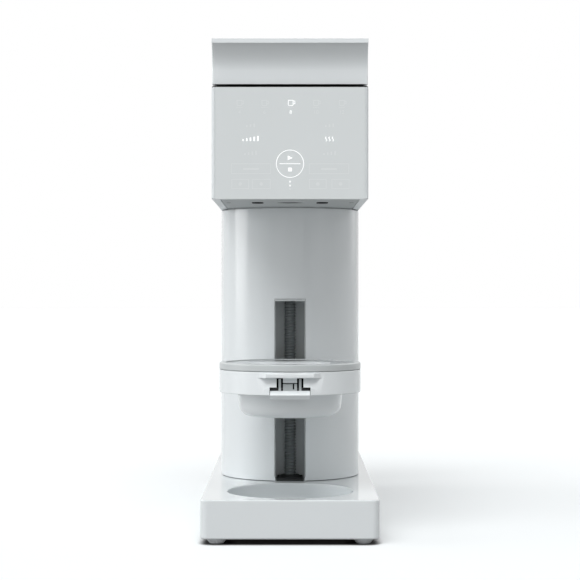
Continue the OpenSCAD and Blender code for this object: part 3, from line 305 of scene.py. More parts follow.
class Piece:
    """One solid on the bench, shaped with Blender's own operators."""

    def __init__(self, name: str) -> None:
        """Takes up the object that was just added, and names it and its data."""
        self.solid = bpy.context.object
        self.solid.name = name
        self.solid.data.name = name

    @staticmethod
    def clear() -> None:
        """Goes back to object mode with nothing selected."""
        if bpy.context.mode != "OBJECT":
            bpy.ops.object.mode_set(mode="OBJECT")
        bpy.ops.object.select_all(action="DESELECT")

    @classmethod
    def block(cls, name: str, low: Point, high: Point) -> "Piece":
        """Adds a box between two corners."""
        cls.clear()
        start, end = Vector(low), Vector(high)
        bpy.ops.mesh.primitive_cube_add(size=1.0, location=(start + end) / 2)
        piece = cls(name)
        piece.solid.scale = end - start
        piece.settle()
        return piece

    @classmethod
    def wire(cls, name: str, points: Sequence[Point], closed: bool, fill: str = "NOTHING") -> "Piece":
        """Adds a line through points.

        Args:
            name: Name of the new piece.
            points: Corners of the line.
            closed: False to leave out the edge from the last point back to the first.
            fill: NGON to span the line with a face.

        Returns:
            The new piece.
        """
        cls.clear()
        bpy.ops.mesh.primitive_circle_add(vertices=len(points), radius=1.0, fill_type=fill)
        piece = cls(name)
        for vertex, point in zip(piece.solid.data.vertices, points):
            vertex.co = point
        if not closed:
            ends = {0, len(points) - 1}
            piece.pick(lambda edge: set(edge.vertices) == ends)
            bpy.ops.mesh.delete(type="EDGE")
            cls.clear()
        return piece

    @classmethod
    def prism(cls, name: str, outline: Sequence[Flat], axis: Axis, start: float, end: float) -> "Piece":
        """Extrudes a closed outline.

        Args:
            name: Name of the new piece.
            outline: Corner points in the axis's drawing plane.
            axis: Direction of the extrusion.
            start: Where the extrusion begins along the axis.
            end: Where it ends.

        Returns:
            The new piece.
        """
        piece = cls.wire(name, [axis.place(u, v, start) for u, v in outline], True, "NGON")
        piece.edit()
        shift = axis.place(0.0, 0.0, end - start)
        bpy.ops.mesh.extrude_region_move(TRANSFORM_OT_translate={"value": shift})
        bpy.ops.mesh.select_all(action="SELECT")
        bpy.ops.mesh.normals_make_consistent(inside=False)
        bpy.ops.object.mode_set(mode="OBJECT")
        return piece

    @classmethod
    def rod(cls, name: str, axis: Axis, where: Place, radius: float, start: float, end: float) -> "Piece":
        """Adds a round bar along an axis, about a point of its drawing plane or a node's middle."""
        outline = arc(axis.spot(where), radius, 0.0, 360.0, SEGMENTS)[:-1]
        return cls.prism(name, outline, axis, start, end)

    @classmethod
    def pin_bore(cls, node: str, start: float, end: float) -> "Piece":
        """Adds the cutter of a hinge pin's bore, along X."""
        low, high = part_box(node)
        return cls.rod("pin_bore", Axis.X, node, (high.z - low.z) / 2 + PIN_PLAY, start, end)

    @classmethod
    def lathe(cls, name: str, profile: Sequence[Flat], where: Place, ring: bool = False) -> "Piece":
        """Turns a profile about an upright axis.

        Args:
            name: Name of the new piece.
            profile: Points as radius and height.
            where: Where the axis stands in plan, or the node whose middle it is.
            ring: True for a closed profile that keeps clear of the axis.

        Returns:
            The turned piece.
        """
        x, y = Axis.Z.spot(where)
        piece = cls.wire(name, [(x + radius, y, height) for radius, height in profile], ring)
        piece.edit()
        bpy.ops.mesh.spin(steps=SEGMENTS, angle=math.tau, center=(x, y, 0.0), axis=(0.0, 0.0, 1.0))
        piece.close_up()
        return piece

    @classmethod
    def join(cls, name: str, pieces: Sequence["Piece"]) -> "Piece":
        """Joins loose pieces into one."""
        pieces[0].focus()
        for piece in pieces:
            piece.solid.select_set(True)
        bpy.ops.object.join()
        return cls(name)

    def copy(self, shift: Point) -> "Piece":
        """Returns a moved copy with its own mesh."""
        self.focus()
        bpy.ops.object.duplicate(linked=False)
        twin = Piece("twin")
        twin.solid.location = Vector(shift)
        twin.settle()
        return twin

    def focus(self) -> None:
        """Selects this piece alone and makes it active."""
        self.clear()
        self.solid.select_set(True)
        bpy.context.view_layer.objects.active = self.solid

    def edit(self) -> None:
        """Opens the piece in edit mode with everything selected."""
        self.focus()
        bpy.ops.object.mode_set(mode="EDIT")
        bpy.ops.mesh.select_all(action="SELECT")

    def settle(self) -> None:
        """Puts the piece's place, turn and scale into its mesh."""
        self.focus()
        bpy.ops.object.transform_apply(location=True, rotation=True, scale=True)

    def close_up(self) -> None:
        """Merges doubled points and turns every face outwards."""
        self.edit()
        bpy.ops.mesh.remove_doubles(threshold=MERGE)
        bpy.ops.mesh.normals_make_consistent(inside=False)
        bpy.ops.object.mode_set(mode="OBJECT")

    def pick(self, wanted: Callable[[bpy.types.MeshEdge], bool]) -> None:
        """Leaves the piece in edit mode with only the wanted edges selected."""
        self.focus()
        bpy.ops.object.mode_set(mode="EDIT")
        bpy.ops.mesh.select_mode(type="EDGE")
        bpy.ops.mesh.select_all(action="DESELECT")
        bpy.ops.object.mode_set(mode="OBJECT")
        for edge in self.solid.data.edges:
            edge.select = wanted(edge)
        bpy.ops.object.mode_set(mode="EDIT")

    def round_edges(self, wanted: Callable[[Vector, Vector], bool], radius: float, segments: int) -> None:
        """Rounds the edges whose two end points pass a test.

        Args:
            wanted: Test of an edge's two end points.
            radius: Radius of the rounding.
            segments: Number of faces round the bend.
        """
        points = self.solid.data.vertices
        self.pick(lambda edge: wanted(*(points[i].co for i in edge.vertices)))
        bpy.ops.mesh.bevel(
            offset=radius, offset_type="OFFSET", segments=segments, profile=0.5, affect="EDGES"
        )
        bpy.ops.object.mode_set(mode="OBJECT")

    def round_uprights(self, radius: float, segments: int = 8) -> None:
        """Rounds every upright edge of a block."""
        self.round_edges(lambda a, b: abs(a.x - b.x) + abs(a.y - b.y) < TOUCH, radius, segments)

    def modify(self, kind: str, **settings: Any) -> None:
        """Adds a modifier with its settings, and applies it."""
        modifier = self.solid.modifiers.new(kind.lower(), kind)
        for key, value in settings.items():
            setattr(modifier, key, value)
        self.focus()
        bpy.ops.object.modifier_apply(modifier=modifier.name)

    def carve(self, operation: str, others: Iterable["Piece"]) -> None:
        """Cuts other pieces out of this one, or welds them on, and uses them up."""
        for other in others:
            self.modify("BOOLEAN", operation=operation, solver="EXACT", object=other.solid)
            bpy.data.objects.remove(other.solid)

    def cut(self, *cutters: "Piece") -> None:
        """Cuts the cutters out of this piece."""
        self.carve("DIFFERENCE", cutters)

    def weld(self, *others: "Piece") -> None:
        """Joins other solids to this one as one body."""
        self.carve("UNION", others)

    def smooth(self, angle: float = SMOOTH_ANGLE) -> None:
        """Shades bends smooth up to an angle."""
        self.focus()
        bpy.ops.object.shade_smooth_by_angle(angle=angle)

    def shade(self) -> None:
        """Smooths the shading of bends, weighted so that flats stay flat."""
        self.smooth()
        self.modify("WEIGHTED_NORMAL", keep_sharp=True)

    def soften(self, radius: float, segments: int = 3) -> None:
        """Rounds every sharp edge a little, and shades flat faces flat and bends smooth."""
        self.close_up()
        self.smooth()
        limit = {"limit_method": "ANGLE", "angle_limit": SMOOTH_ANGLE, "use_clamp_overlap": True}
        self.modify("BEVEL", width=radius, segments=segments, **limit)
        self.shade()

    def fit(self, body: str, finish: Finish, *nodes: str) -> None:
        """Finishes the piece and sets it in the frame.

        Args:
            body: Body that it moves with.
            finish: Its surface finish.
            *nodes: Nodes that it stands for.
        """
        piece = self.solid
        finish.coat_piece(piece)
        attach(piece, body)
        if nodes:
            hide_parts(*nodes)
        LOG.info("%s rides on %s, %d faces", piece.name, body, len(piece.data.polygons))


@dataclass
class Base:
    """The base slab with its round dish, its feet and its cord gland."""

    wall: float = 2.4 * MM
    corner: float = 5.0 * MM
    edge: float = 0.9 * MM
    lower_edge: float = 1.2 * MM
    dish_radius: float = 40.6 * MM
    dish_depth: float = 17.0 * MM
    dish_fillet: float = 9.0 * MM
    dish_lip: float = 1.0 * MM
    socket_hole: float = 11.2 * MM
    gland_bore: float = 3.5 * MM
    gland_flange: float = 2.5 * MM
    gland_edge: float = 0.3 * MM
    foot_radius: float = 7.25 * MM
    sole_radius: float = 4.75 * MM
    foot_round: float = 0.9 * MM

    def build(self) -> None:
        """Builds the slab, the feet and the gland."""
        self._slab()
        self._feet()
        self._gland()

    def _dish(self, top: float) -> Piece:
        """Returns the solid that the dish is cut with."""
        floor, fillet, lip = top - self.dish_depth, self.dish_fillet, self.dish_lip
        rim = self.dish_radius + lip
        profile = [(0.0, floor)]
        profile += arc((self.dish_radius - fillet, floor + fillet), fillet, -90.0, 0.0, 12)
        profile += arc((rim, top - lip), lip, 180.0, 90.0, 6)
        profile += [(rim, top + OVERSHOOT), (0.0, top + OVERSHOOT)]
        return Piece.lathe("dish_cutter", profile, "drip_bowl")

    def _slab(self) -> None:
        """Builds the hollow slab with the dish sunk in its top."""
        low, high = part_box("base_shell")
        wall = self.wall
        slab = Piece.block("base_body", low, high)
        slab.round_uprights(self.corner)
        slab.round_edges(lambda a, b: min(a.z, b.z) > high.z - TOUCH, self.edge, 4)
        slab.round_edges(lambda a, b: max(a.z, b.z) < low.z + TOUCH, self.lower_edge, 4)
        inside_low = (low.x + wall, low.y + wall, low.z - OVERSHOOT)
        inside = Piece.block("inside", inside_low, high - Vector((wall, wall, wall)))
        inside.round_uprights(self.corner - wall)
        tub_foot = high.z - self.dish_depth - wall
        inside.cut(Piece.rod("tub", Axis.Z, "drip_bowl", self.dish_radius + wall, tub_foot, high.z))
        gland_low, gland_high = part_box("cord_gland")
        neck = (gland_high.z - gland_low.z) / 2 - self.gland_flange
        skin, above, behind = 2 * wall, high.z + OVERSHOOT, high.y + OVERSHOOT
        slab.cut(
            inside,
            self._dish(high.z),
            Piece.rod("socket_hole", Axis.Z, "tank_socket", self.socket_hole, high.z - skin, above),
            Piece.rod("gland_hole", Axis.Y, "cord_gland", neck, high.y - skin, behind),
        )
        slab.shade()
        slab.fit("root", PALE_GLOSS, "base_shell")

    def _feet(self) -> None:
        """Builds four turned rubber feet that taper to rounded soles."""
        low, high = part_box("rubber_feet")
        top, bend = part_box("base_shell")[0].z, self.foot_round
        x, y = high.x - self.foot_radius, high.y - self.foot_radius
        slope = math.degrees(math.atan2(self.foot_radius - self.sole_radius, top - low.z))
        profile = [(0.0, low.z)]
        profile += arc((self.sole_radius - bend, low.z + bend), bend, -90.0, -slope, 5)
        profile += [(self.foot_radius, top), (0.0, top)]
        first = Piece.lathe("foot", profile, (-x, -y))
        shifts = ((2 * x, 0.0, 0.0), (0.0, 2 * y, 0.0), (2 * x, 2 * y, 0.0))
        feet = Piece.join("feet", [first] + [first.copy(shift) for shift in shifts])
        feet.shade()
        feet.fit("root", RUBBER, "rubber_feet")

    def _gland(self) -> None:
        """Builds the ring that lines the cord's hole."""
        node = "cord_gland"
        low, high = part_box(node)
        outer = (high.z - low.z) / 2
        gland = Piece.rod("cord_gland_ring", Axis.Y, node, outer, low.y, high.y - self.wall)
        gland.weld(Piece.rod("neck", Axis.Y, node, outer - self.gland_flange, low.y, high.y))
        gland.cut(Piece.rod("bore", Axis.Y, node, self.gland_bore, *beyond(low.y, high.y)))
        gland.soften(self.gland_edge)
        gland.fit("root", BLACK, node)


@dataclass
class Column:
    """The column with its round front and lift slot, and the lead screw that turns in it."""

    wall: float = 2.6 * MM
    slot_half: float = 10.7 * MM
    slot_height: float = 124.5 * MM
    slot_edge: float = 0.5 * MM
    seam: float = 0.3 * MM
    groove: float = 0.7 * MM
    groove_depth: float = 1.2 * MM
    foot_tab: float = 0.7 * MM
    tab_height: float = 2.2 * MM
    tab_slope: float = 1.0 * MM
    liner_wall: float = 0.4 * MM
    liner_back: float = 1.4 * MM
    tongue_half: float = 43.55 * MM
    screw_radius: float = 4.0 * MM
    root_radius: float = 3.4 * MM
    pitch: float = 2.0 * MM
    rise_from: float = 0.12
    crest_from: float = 0.46
    crest_to: float = 0.62
    thread_gap: float = 0.2 * MM
    thread_steps: int = 32
    thread_merge: float = 0.001 * MM
    thread_angle: float = 30.0
    spare_turns: int = 2
    journal_radius: float = 3.0 * MM
    cap_radius: float = 6.5 * MM
    bearing_edge: float = 0.4 * MM

    def build(self) -> None:
        """Builds the shell, the liner, the screw and its lower bearing."""
        self._shell()
        self._liner()
        self._screw()
        self._bearing()

    def _shell(self) -> None:
        """Builds the shell, with a hairline seam over the base and a groove under the head."""
        low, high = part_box("column_shell")
        body_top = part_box("head_shell")[0].z - self.groove
        radius, back, tongue_half = high.x, high.y + OVERSHOOT, self.tongue_half
        neck, inner = radius - self.groove_depth, radius - self.wall
        axis_y = low.y + radius
        centre = (0.0, axis_y)
        outline = arc(centre, radius, 180.0, 360.0, SEGMENTS) + [(radius, high.y), (-radius, high.y)]
        shell = Piece.prism("column_body", outline, Axis.Z, low.z + self.seam, body_top)
        seam_top = low.z + 2 * self.seam
        shell.round_edges(lambda a, b: max(a.z, b.z) < seam_top and max(a.y, b.y) < high.y, self.seam, 2)
        turn = math.degrees(math.acos(tongue_half / neck))
        tongue = arc(centre, neck, 180.0 + turn, 360.0 - turn, SEGMENTS)
        tongue += [(tongue_half, axis_y), (-tongue_half, axis_y)]
        shell.weld(Piece.prism("tongue", tongue, Axis.Z, body_top - OVERSHOOT, high.z))
        hollow = arc(centre, inner, 180.0, 360.0, SEGMENTS) + [(inner, back), (-inner, back)]
        shell.cut(
            Piece.prism("hollow", hollow, Axis.Z, *beyond(low.z, high.z)),
            Piece.prism("slot", self._slot(low.z), Axis.Y, low.y - OVERSHOOT, low.y + 3 * self.wall),
        )
        slot_top = low.z + self.slot_height + TOUCH

        def on_slot(a: Vector, b: Vector) -> bool:
            """Says whether an edge is a long upright one of the slot."""
            on_side = all(abs(abs(p.x) - self.slot_half) < TOUCH and p.y < axis_y for p in (a, b))
            return on_side and max(a.z, b.z) < slot_top and abs(a.z - b.z) > self.wall

        shell.round_edges(on_slot, self.slot_edge, 3)
        shell.shade()
        shell.fit("root", PALE, "column_shell")

    def _slot(self, foot: float) -> list[Flat]:
        """Returns the slot's front view, narrowed at its foot by two small tabs."""
        half, narrow = self.slot_half, self.slot_half - self.foot_tab
        shoulder = foot + self.tab_height
        right = [(narrow, foot - OVERSHOOT), (narrow, shoulder), (half, shoulder + self.tab_slope)]
        right += [(half, foot + self.slot_height)]
        return right + [(-x, z) for x, z in reversed(right)]

    def _liner(self) -> None:
        """Builds the slot's liner: an open channel with thin walls and a closed top."""
        low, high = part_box("slot_liner")
        wall, back = self.liner_wall, self.liner_back
        inside_low = (low.x + wall, low.y - OVERSHOOT, low.z - OVERSHOOT)
        inside_high = (high.x - wall, high.y - back, high.z - back)
        bore = self.screw_radius + 3 * wall
        liner = Piece.block("slot_liner_channel", low, high)
        liner.cut(
            Piece.block("inside", inside_low, inside_high),
            Piece.rod("screw_hole", Axis.Z, "lead_screw", bore, high.z - 2 * back, high.z + OVERSHOOT),
        )
        liner.shade()
        liner.fit("root", LINER, "slot_liner")

    def _screw(self) -> None:
        """Builds the lead screw: one thread tooth, screwed up the shaft, with plain journals."""
        node, root, crest = "lead_screw", self.root_radius, self.screw_radius
        low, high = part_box(node)
        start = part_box("lower_screw_bearing")[1].z + self.thread_gap
        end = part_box("motor_bracket")[0].z - self.thread_gap
        tooth = [(root, 0.0), (root, self.rise_from), (crest, self.crest_from)]
        tooth += [(crest, self.crest_to), (root, 1.0)]
        foot = start - self.spare_turns * self.pitch
        points = [(radius, 0.0, foot + share * self.pitch) for radius, share in tooth]
        thread = Piece.wire("thread", points, False)
        thread.modify(
            "SCREW",
            axis="Z",
            angle=math.tau,
            screw_offset=self.pitch,
            iterations=math.ceil((end - start) / self.pitch) + 2 * self.spare_turns,
            steps=self.thread_steps,
            render_steps=self.thread_steps,
            use_merge_vertices=True,
            merge_threshold=self.thread_merge,
        )
        thread.solid.location = (*Axis.Z.spot(node), 0.0)
        thread.settle()
        thread.close_up()
        for height, upper in ((start, False), (end, True)):
            thread.edit()
            level = {"plane_co": (0.0, 0.0, height), "plane_no": (0.0, 0.0, 1.0)}
            bpy.ops.mesh.bisect(**level, use_fill=True, clear_outer=upper, clear_inner=not upper)
        thread.close_up()
        journals = [
            Piece.rod("journal", Axis.Z, node, self.journal_radius, *ends)
            for ends in ((low.z, start), (end, high.z))
        ]
        screw = Piece.join("threaded_screw", [thread, *journals])
        screw.smooth(math.radians(self.thread_angle))
        screw.fit("screw", THREAD, node)

    def _bearing(self) -> None:
        """Builds the lower bearing: a round cap on a flat plate."""
        node, screw = "lower_screw_bearing", "lead_screw"
        low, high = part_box(node)
        bearing = Piece.block("screw_foot_bearing", low, (high.x, high.y, middle(node).z))
        bearing.weld(Piece.rod("cap", Axis.Z, screw, self.cap_radius, low.z, high.z))
        bearing.cut(Piece.rod("bore", Axis.Z, screw, self.journal_radius + PIN_PLAY, *beyond(low.z, high.z)))
        bearing.soften(self.bearing_edge)
        # The bearing takes the lifted dark grey: painted light on a black part.
        bearing.fit("root", LIFTED_BLACK, node)


@dataclass
class Tray:
    """The lift tray: ring, drip bowl, cup platform, grate and front latch."""

    bore: float = 34.1 * MM
    edge: float = 0.6 * MM
    seam: float = 0.35 * MM
    clearance: float = 0.3 * MM
    rim_height: float = 2.0 * MM
    rim_play: float = 0.2 * MM
    ledge_half: float = 15.1 * MM
    ledge_flare: float = 4.2 * MM
    ledge_height: float = 3.6 * MM
    ledge_set: float = 0.7 * MM
    pocket_foot: float = 4.4 * MM
    pocket_top_depth: float = 4.7 * MM
    pocket_foot_depth: float = 2.8 * MM
    hook_half: float = 8.5 * MM
    hook_depth: float = 3.4 * MM
    arm_half: float = 6.0 * MM
    latch_room: float = 2.4 * MM
    pin_room: float = 0.2 * MM
    web_room: float = 7.9 * MM
    # Thickness of the painted shade lining at the back of the latch's room.
    well: float = 0.15 * MM
    bowl_wall: float = 2.0 * MM
    bowl_fillet: float = 8.0 * MM
    bowl_taper: float = 0.4 * MM
    bowl_radius: float = 33.8 * MM
    bowl_collar: float = 12.0 * MM
    platform_edge: float = 4.1 * MM
    platform_round: float = 0.9 * MM
    grate_slot: float = 3.0 * MM
    grate_bar: float = 3.6 * MM
    grate_margin: float = 4.0 * MM
    tab_height: float = 5.4 * MM
    tab_depth: float = 6.6 * MM
    tab_brow: float = 3.4 * MM
    tab_corner: float = 0.8 * MM
    corner_height: float = 2.0 * MM
    nose_round: float = 0.9 * MM
    nose_height: float = 2.9 * MM
    nose_arc: Flat = (130.0, 205.0)
    heel_set: float = 3.6 * MM
    heel_round: float = 0.7 * MM
    heel_arc: Flat = (220.0, 270.0)
    prong_set: float = 5.3 * MM
    prong_half_gap: float = 2.0 * MM
    prong_half: float = 0.8 * MM
    prong_x: float = 6.4 * MM
    prong_back: float = 1.4 * MM
    web_top: float = 9.7 * MM
    slit_half: float = 0.45 * MM
    slit_x: float = 2.2 * MM
    slit_drop: float = 3.4 * MM
    slit_proud: float = 0.05 * MM
    ring_soft: float = 0.15 * MM
    room_shade_soft: float = 0.05 * MM
    bowl_soft: float = 0.25 * MM
    platform_soft: float = 0.2 * MM
    grate_soft: float = 0.35 * MM
    latch_soft: float = 0.3 * MM

    def build(self) -> None:
        """Builds the pieces of the tray."""
        self._ring()
        self._room_shade()
        self._bowl()
        self._platform()
        self._grate()
        self._latch()

    def _room_back(self) -> float:
        """Returns where the latch's room ends."""
        return middle("latch_pin").y + self.latch_room

    def _room(self, name: str, front: float, foot: float) -> list[Piece]:
        """Returns the blocks of the latch's room: for its tab, its two prongs and its web.

        Args:
            name: Name of the blocks.
            front: Where they begin, from the front.
            foot: Where the tab's and the prongs' begin, from below.
        """
        low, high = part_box("tray_ring")
        half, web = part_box("tray_latch")[1].x + self.clearance, self.prong_x - self.prong_half_gap
        ledge_foot = high.z - self.ledge_height
        rooms = [(-half, half, foot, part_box("latch_pin")[1].z + self.pin_room)]
        rooms += [(*span(side * self.prong_x, self.prong_half_gap), foot, ledge_foot) for side in SIDES]
        rooms += [(-web, web, low.z, low.z + self.web_room)]
        back = self._room_back()
        return [Piece.block(name, (x0, front, z0), (x1, back, z1)) for x0, x1, z0, z1 in rooms]

    def _ring(self) -> None:
        """Builds the ring with its flat front pocket, ledge, latch room and hook pocket."""
        low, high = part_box("tray_ring")
        radius, edge, seam, gap = high.x, self.edge, self.seam, self.clearance
        centre_y = middle("drip_bowl").y
        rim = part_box("drip_bowl")[1].x + gap
        seat = high.z - self.rim_height - self.rim_play
        profile = [(self.bore, low.z)]
        profile += arc((radius - edge, low.z + edge), edge, -90.0, 0.0, 4)
        profile += arc((radius - seam, high.z - seam), seam, 0.0, 90.0, 3)
        profile += [(rim, high.z), (rim, seat), (self.bore, seat)]
        ring = Piece.lathe("tray_ring_body", profile, "drip_bowl", ring=True)
        front = centre_y - radius
        ahead, below = front - OVERSHOOT, low.z - OVERSHOOT
        ledge_foot, pocket_foot = high.z - self.ledge_height, low.z + self.pocket_foot
        pocket = [(ahead, pocket_foot), (front + self.pocket_foot_depth, pocket_foot)]
        pocket += [(front + self.pocket_top_depth, ledge_foot), (ahead, ledge_foot)]
        arm_low, arm_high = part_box("lift_carriage")
        hook, arm = self.hook_half + gap, self.arm_half + gap
        hook_back = arm_low.y + self.hook_depth + gap
        ring.cut(
            Piece.prism("tilted_pocket", pocket, Axis.X, -radius, radius),
            *self._room("latch_room", ahead, below),
            Piece.block("hook", (-hook, arm_low.y - gap, below), (hook, hook_back, arm_high.z)),
            Piece.block("arm", (-arm, arm_low.y, below), (arm, high.y + OVERSHOOT, arm_high.z)),
        )
        half, root = self.ledge_half, self.ledge_half + self.ledge_flare
        root_y = centre_y - math.sqrt(radius ** 2 - root ** 2) + edge
        ledge_plan = [(-half, front), (half, front), (root, root_y), (-root, root_y)]
        ledge = Piece.prism("ledge", ledge_plan, Axis.Z, ledge_foot, high.z - self.ledge_set)
        ledge.round_edges(lambda a, b: max(a.y, b.y) < front + TOUCH, edge, 3)
        ring.weld(ledge)
        ring.soften(self.ring_soft, 2)
        ring.fit("tray", PALE, "tray_ring")

    def _room_shade(self) -> None:
        """Builds a near-black lining at the back of the latch's room: painted shade."""
        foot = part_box("tray_ring")[0].z
        well, *others = self._room("latch_room_shade", self._room_back() - self.well, foot)
        well.weld(*others)
        well.soften(self.room_shade_soft, 1)
        well.fit("tray", SHADE)

    def _bowl(self) -> None:
        """Builds the drip bowl, its wall drawn in a little towards a rounded foot."""
        low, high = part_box("drip_bowl")
        radius, wall, fillet = self.bowl_radius, self.bowl_wall, self.bowl_fillet
        inner, bend, floor = radius - wall, fillet - wall, low.z + wall
        bend_at = radius - self.bowl_taper - fillet
        rim_foot = high.z - self.rim_height
        collar_foot = rim_foot - self.bowl_collar
        profile = [(0.0, low.z)]
        profile += arc((bend_at, low.z + fillet), fillet, -90.0, 0.0, 12)
        profile += [(radius, collar_foot), (radius, rim_foot), (high.x, rim_foot), (high.x, high.z)]
        profile += [(inner, high.z), (inner, collar_foot)]
        profile += arc((bend_at, floor + bend), bend, 0.0, -90.0, 10)
        profile += [(0.0, floor)]
        bowl = Piece.lathe("drip_bowl_body", profile, "drip_bowl")
        bowl.soften(self.bowl_soft, 2)
        bowl.fit("tray", PALE, "drip_bowl")

    def _platform(self) -> None:
        """Builds the platform's edge, with a dark hairline left under it."""
        low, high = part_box("cup_platform")
        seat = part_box("drip_grate")[0].z
        radius, seam, bend = high.x, self.seam, self.platform_round
        bore, well, neck = self.bowl_radius - self.bowl_wall, radius - self.platform_edge, radius - 3 * seam
        profile = [(bore, low.z), (neck, low.z), (neck, low.z + seam)]
        profile += arc((radius - seam, low.z + 2 * seam), seam, -90.0, 0.0, 3)
        profile += arc((radius - bend, high.z - bend), bend, 0.0, 90.0, 5)
        profile += [(well, high.z), (well, seat), (bore, seat)]
        platform = Piece.lathe("cup_platform_edge", profile, "drip_bowl", ring=True)
        platform.soften(self.platform_soft, 2)
        # The platform takes the darker pale copy: painted shadow of a cup.
        platform.fit("tray", PALE_CUP_SHADOW, "cup_platform")

    def _grate(self) -> None:
        """Builds the grate: a disc with rows of rounded slots."""
        node = "drip_grate"
        low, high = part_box(node)
        grate = Piece.rod("drip_grate_disc", Axis.Z, node, high.x, low.z, high.z)
        pitch, bend = self.grate_slot + self.grate_bar, self.grate_slot / 2
        reach = self.bowl_radius - self.bowl_wall - self.grate_margin
        rows = math.floor((reach - bend) / pitch)
        for row in range(-rows, rows + 1):
            half = math.sqrt(reach ** 2 - (abs(row) * pitch + bend) ** 2) - bend
            y = middle(node).y + row * pitch
            outline = arc((half, y), bend, -90.0, 90.0) + arc((-half, y), bend, 90.0, 270.0)
            grate.cut(Piece.prism("slot", outline, Axis.Z, *beyond(low.z, high.z)))
        grate.soften(self.grate_soft)
        grate.fit("grate", STEEL, node)

    def _latch(self) -> None:
        """Builds the latch: a rolled press tab, and a web with two prongs; painted shade darkens them and
        draws the slit.
        """
        low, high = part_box("tray_latch")
        tab_top, tab_back = low.z + self.tab_height, low.y + self.tab_depth
        nose, heel = self.nose_round, self.heel_round
        outline = [(tab_back, low.z), (tab_back, tab_top), (low.y + self.tab_brow, tab_top)]
        outline += arc((low.y + nose, low.z + self.nose_height), nose, *self.nose_arc, 6)
        outline += arc((low.y + self.heel_set, low.z + heel), heel, *self.heel_arc, 4)
        latch = Piece.prism("press_latch", outline, Axis.X, low.x, high.x)
        corner_top = low.z + self.corner_height
        latch.round_edges(
            lambda a, b: abs(a.x - b.x) < TOUCH and max(a.z, b.z) < corner_top, self.tab_corner, 3
        )
        foot, front, web_top = tab_top - OVERSHOOT, low.y + self.prong_set, low.z + self.web_top
        back = middle("latch_pin").y + self.prong_back
        web = self.prong_x - self.prong_half_gap
        prongs = Piece.block("latch_prongs", (-web, front, foot), (web, back, web_top))
        for side in SIDES:
            left, right = span(side * self.prong_x, self.prong_half)
            prongs.weld(Piece.block("prong", (left, front, foot), (right, back, high.z)))
        # The prongs and web take the darker pale copy: painted shade, as they lie under the ledge.
        for piece, finish in ((latch, PALE_TOP), (prongs, PALE_SHADED)):
            piece.cut(Piece.pin_bore("latch_pin", *beyond(low.x, high.x)))
            piece.soften(self.latch_soft)
            piece.fit("latch", finish, "tray_latch")
        # A near-black bar on the web's face stands for its slit: painted shade, no cut.
        left, right = span(self.slit_x, self.slit_half)
        near, far = span(front, self.slit_proud)
        slit = Piece.block("latch_slit_shade", (left, near, web_top - self.slit_drop), (right, far, web_top))
        slit.shade()
        slit.fit("latch", SHADE)


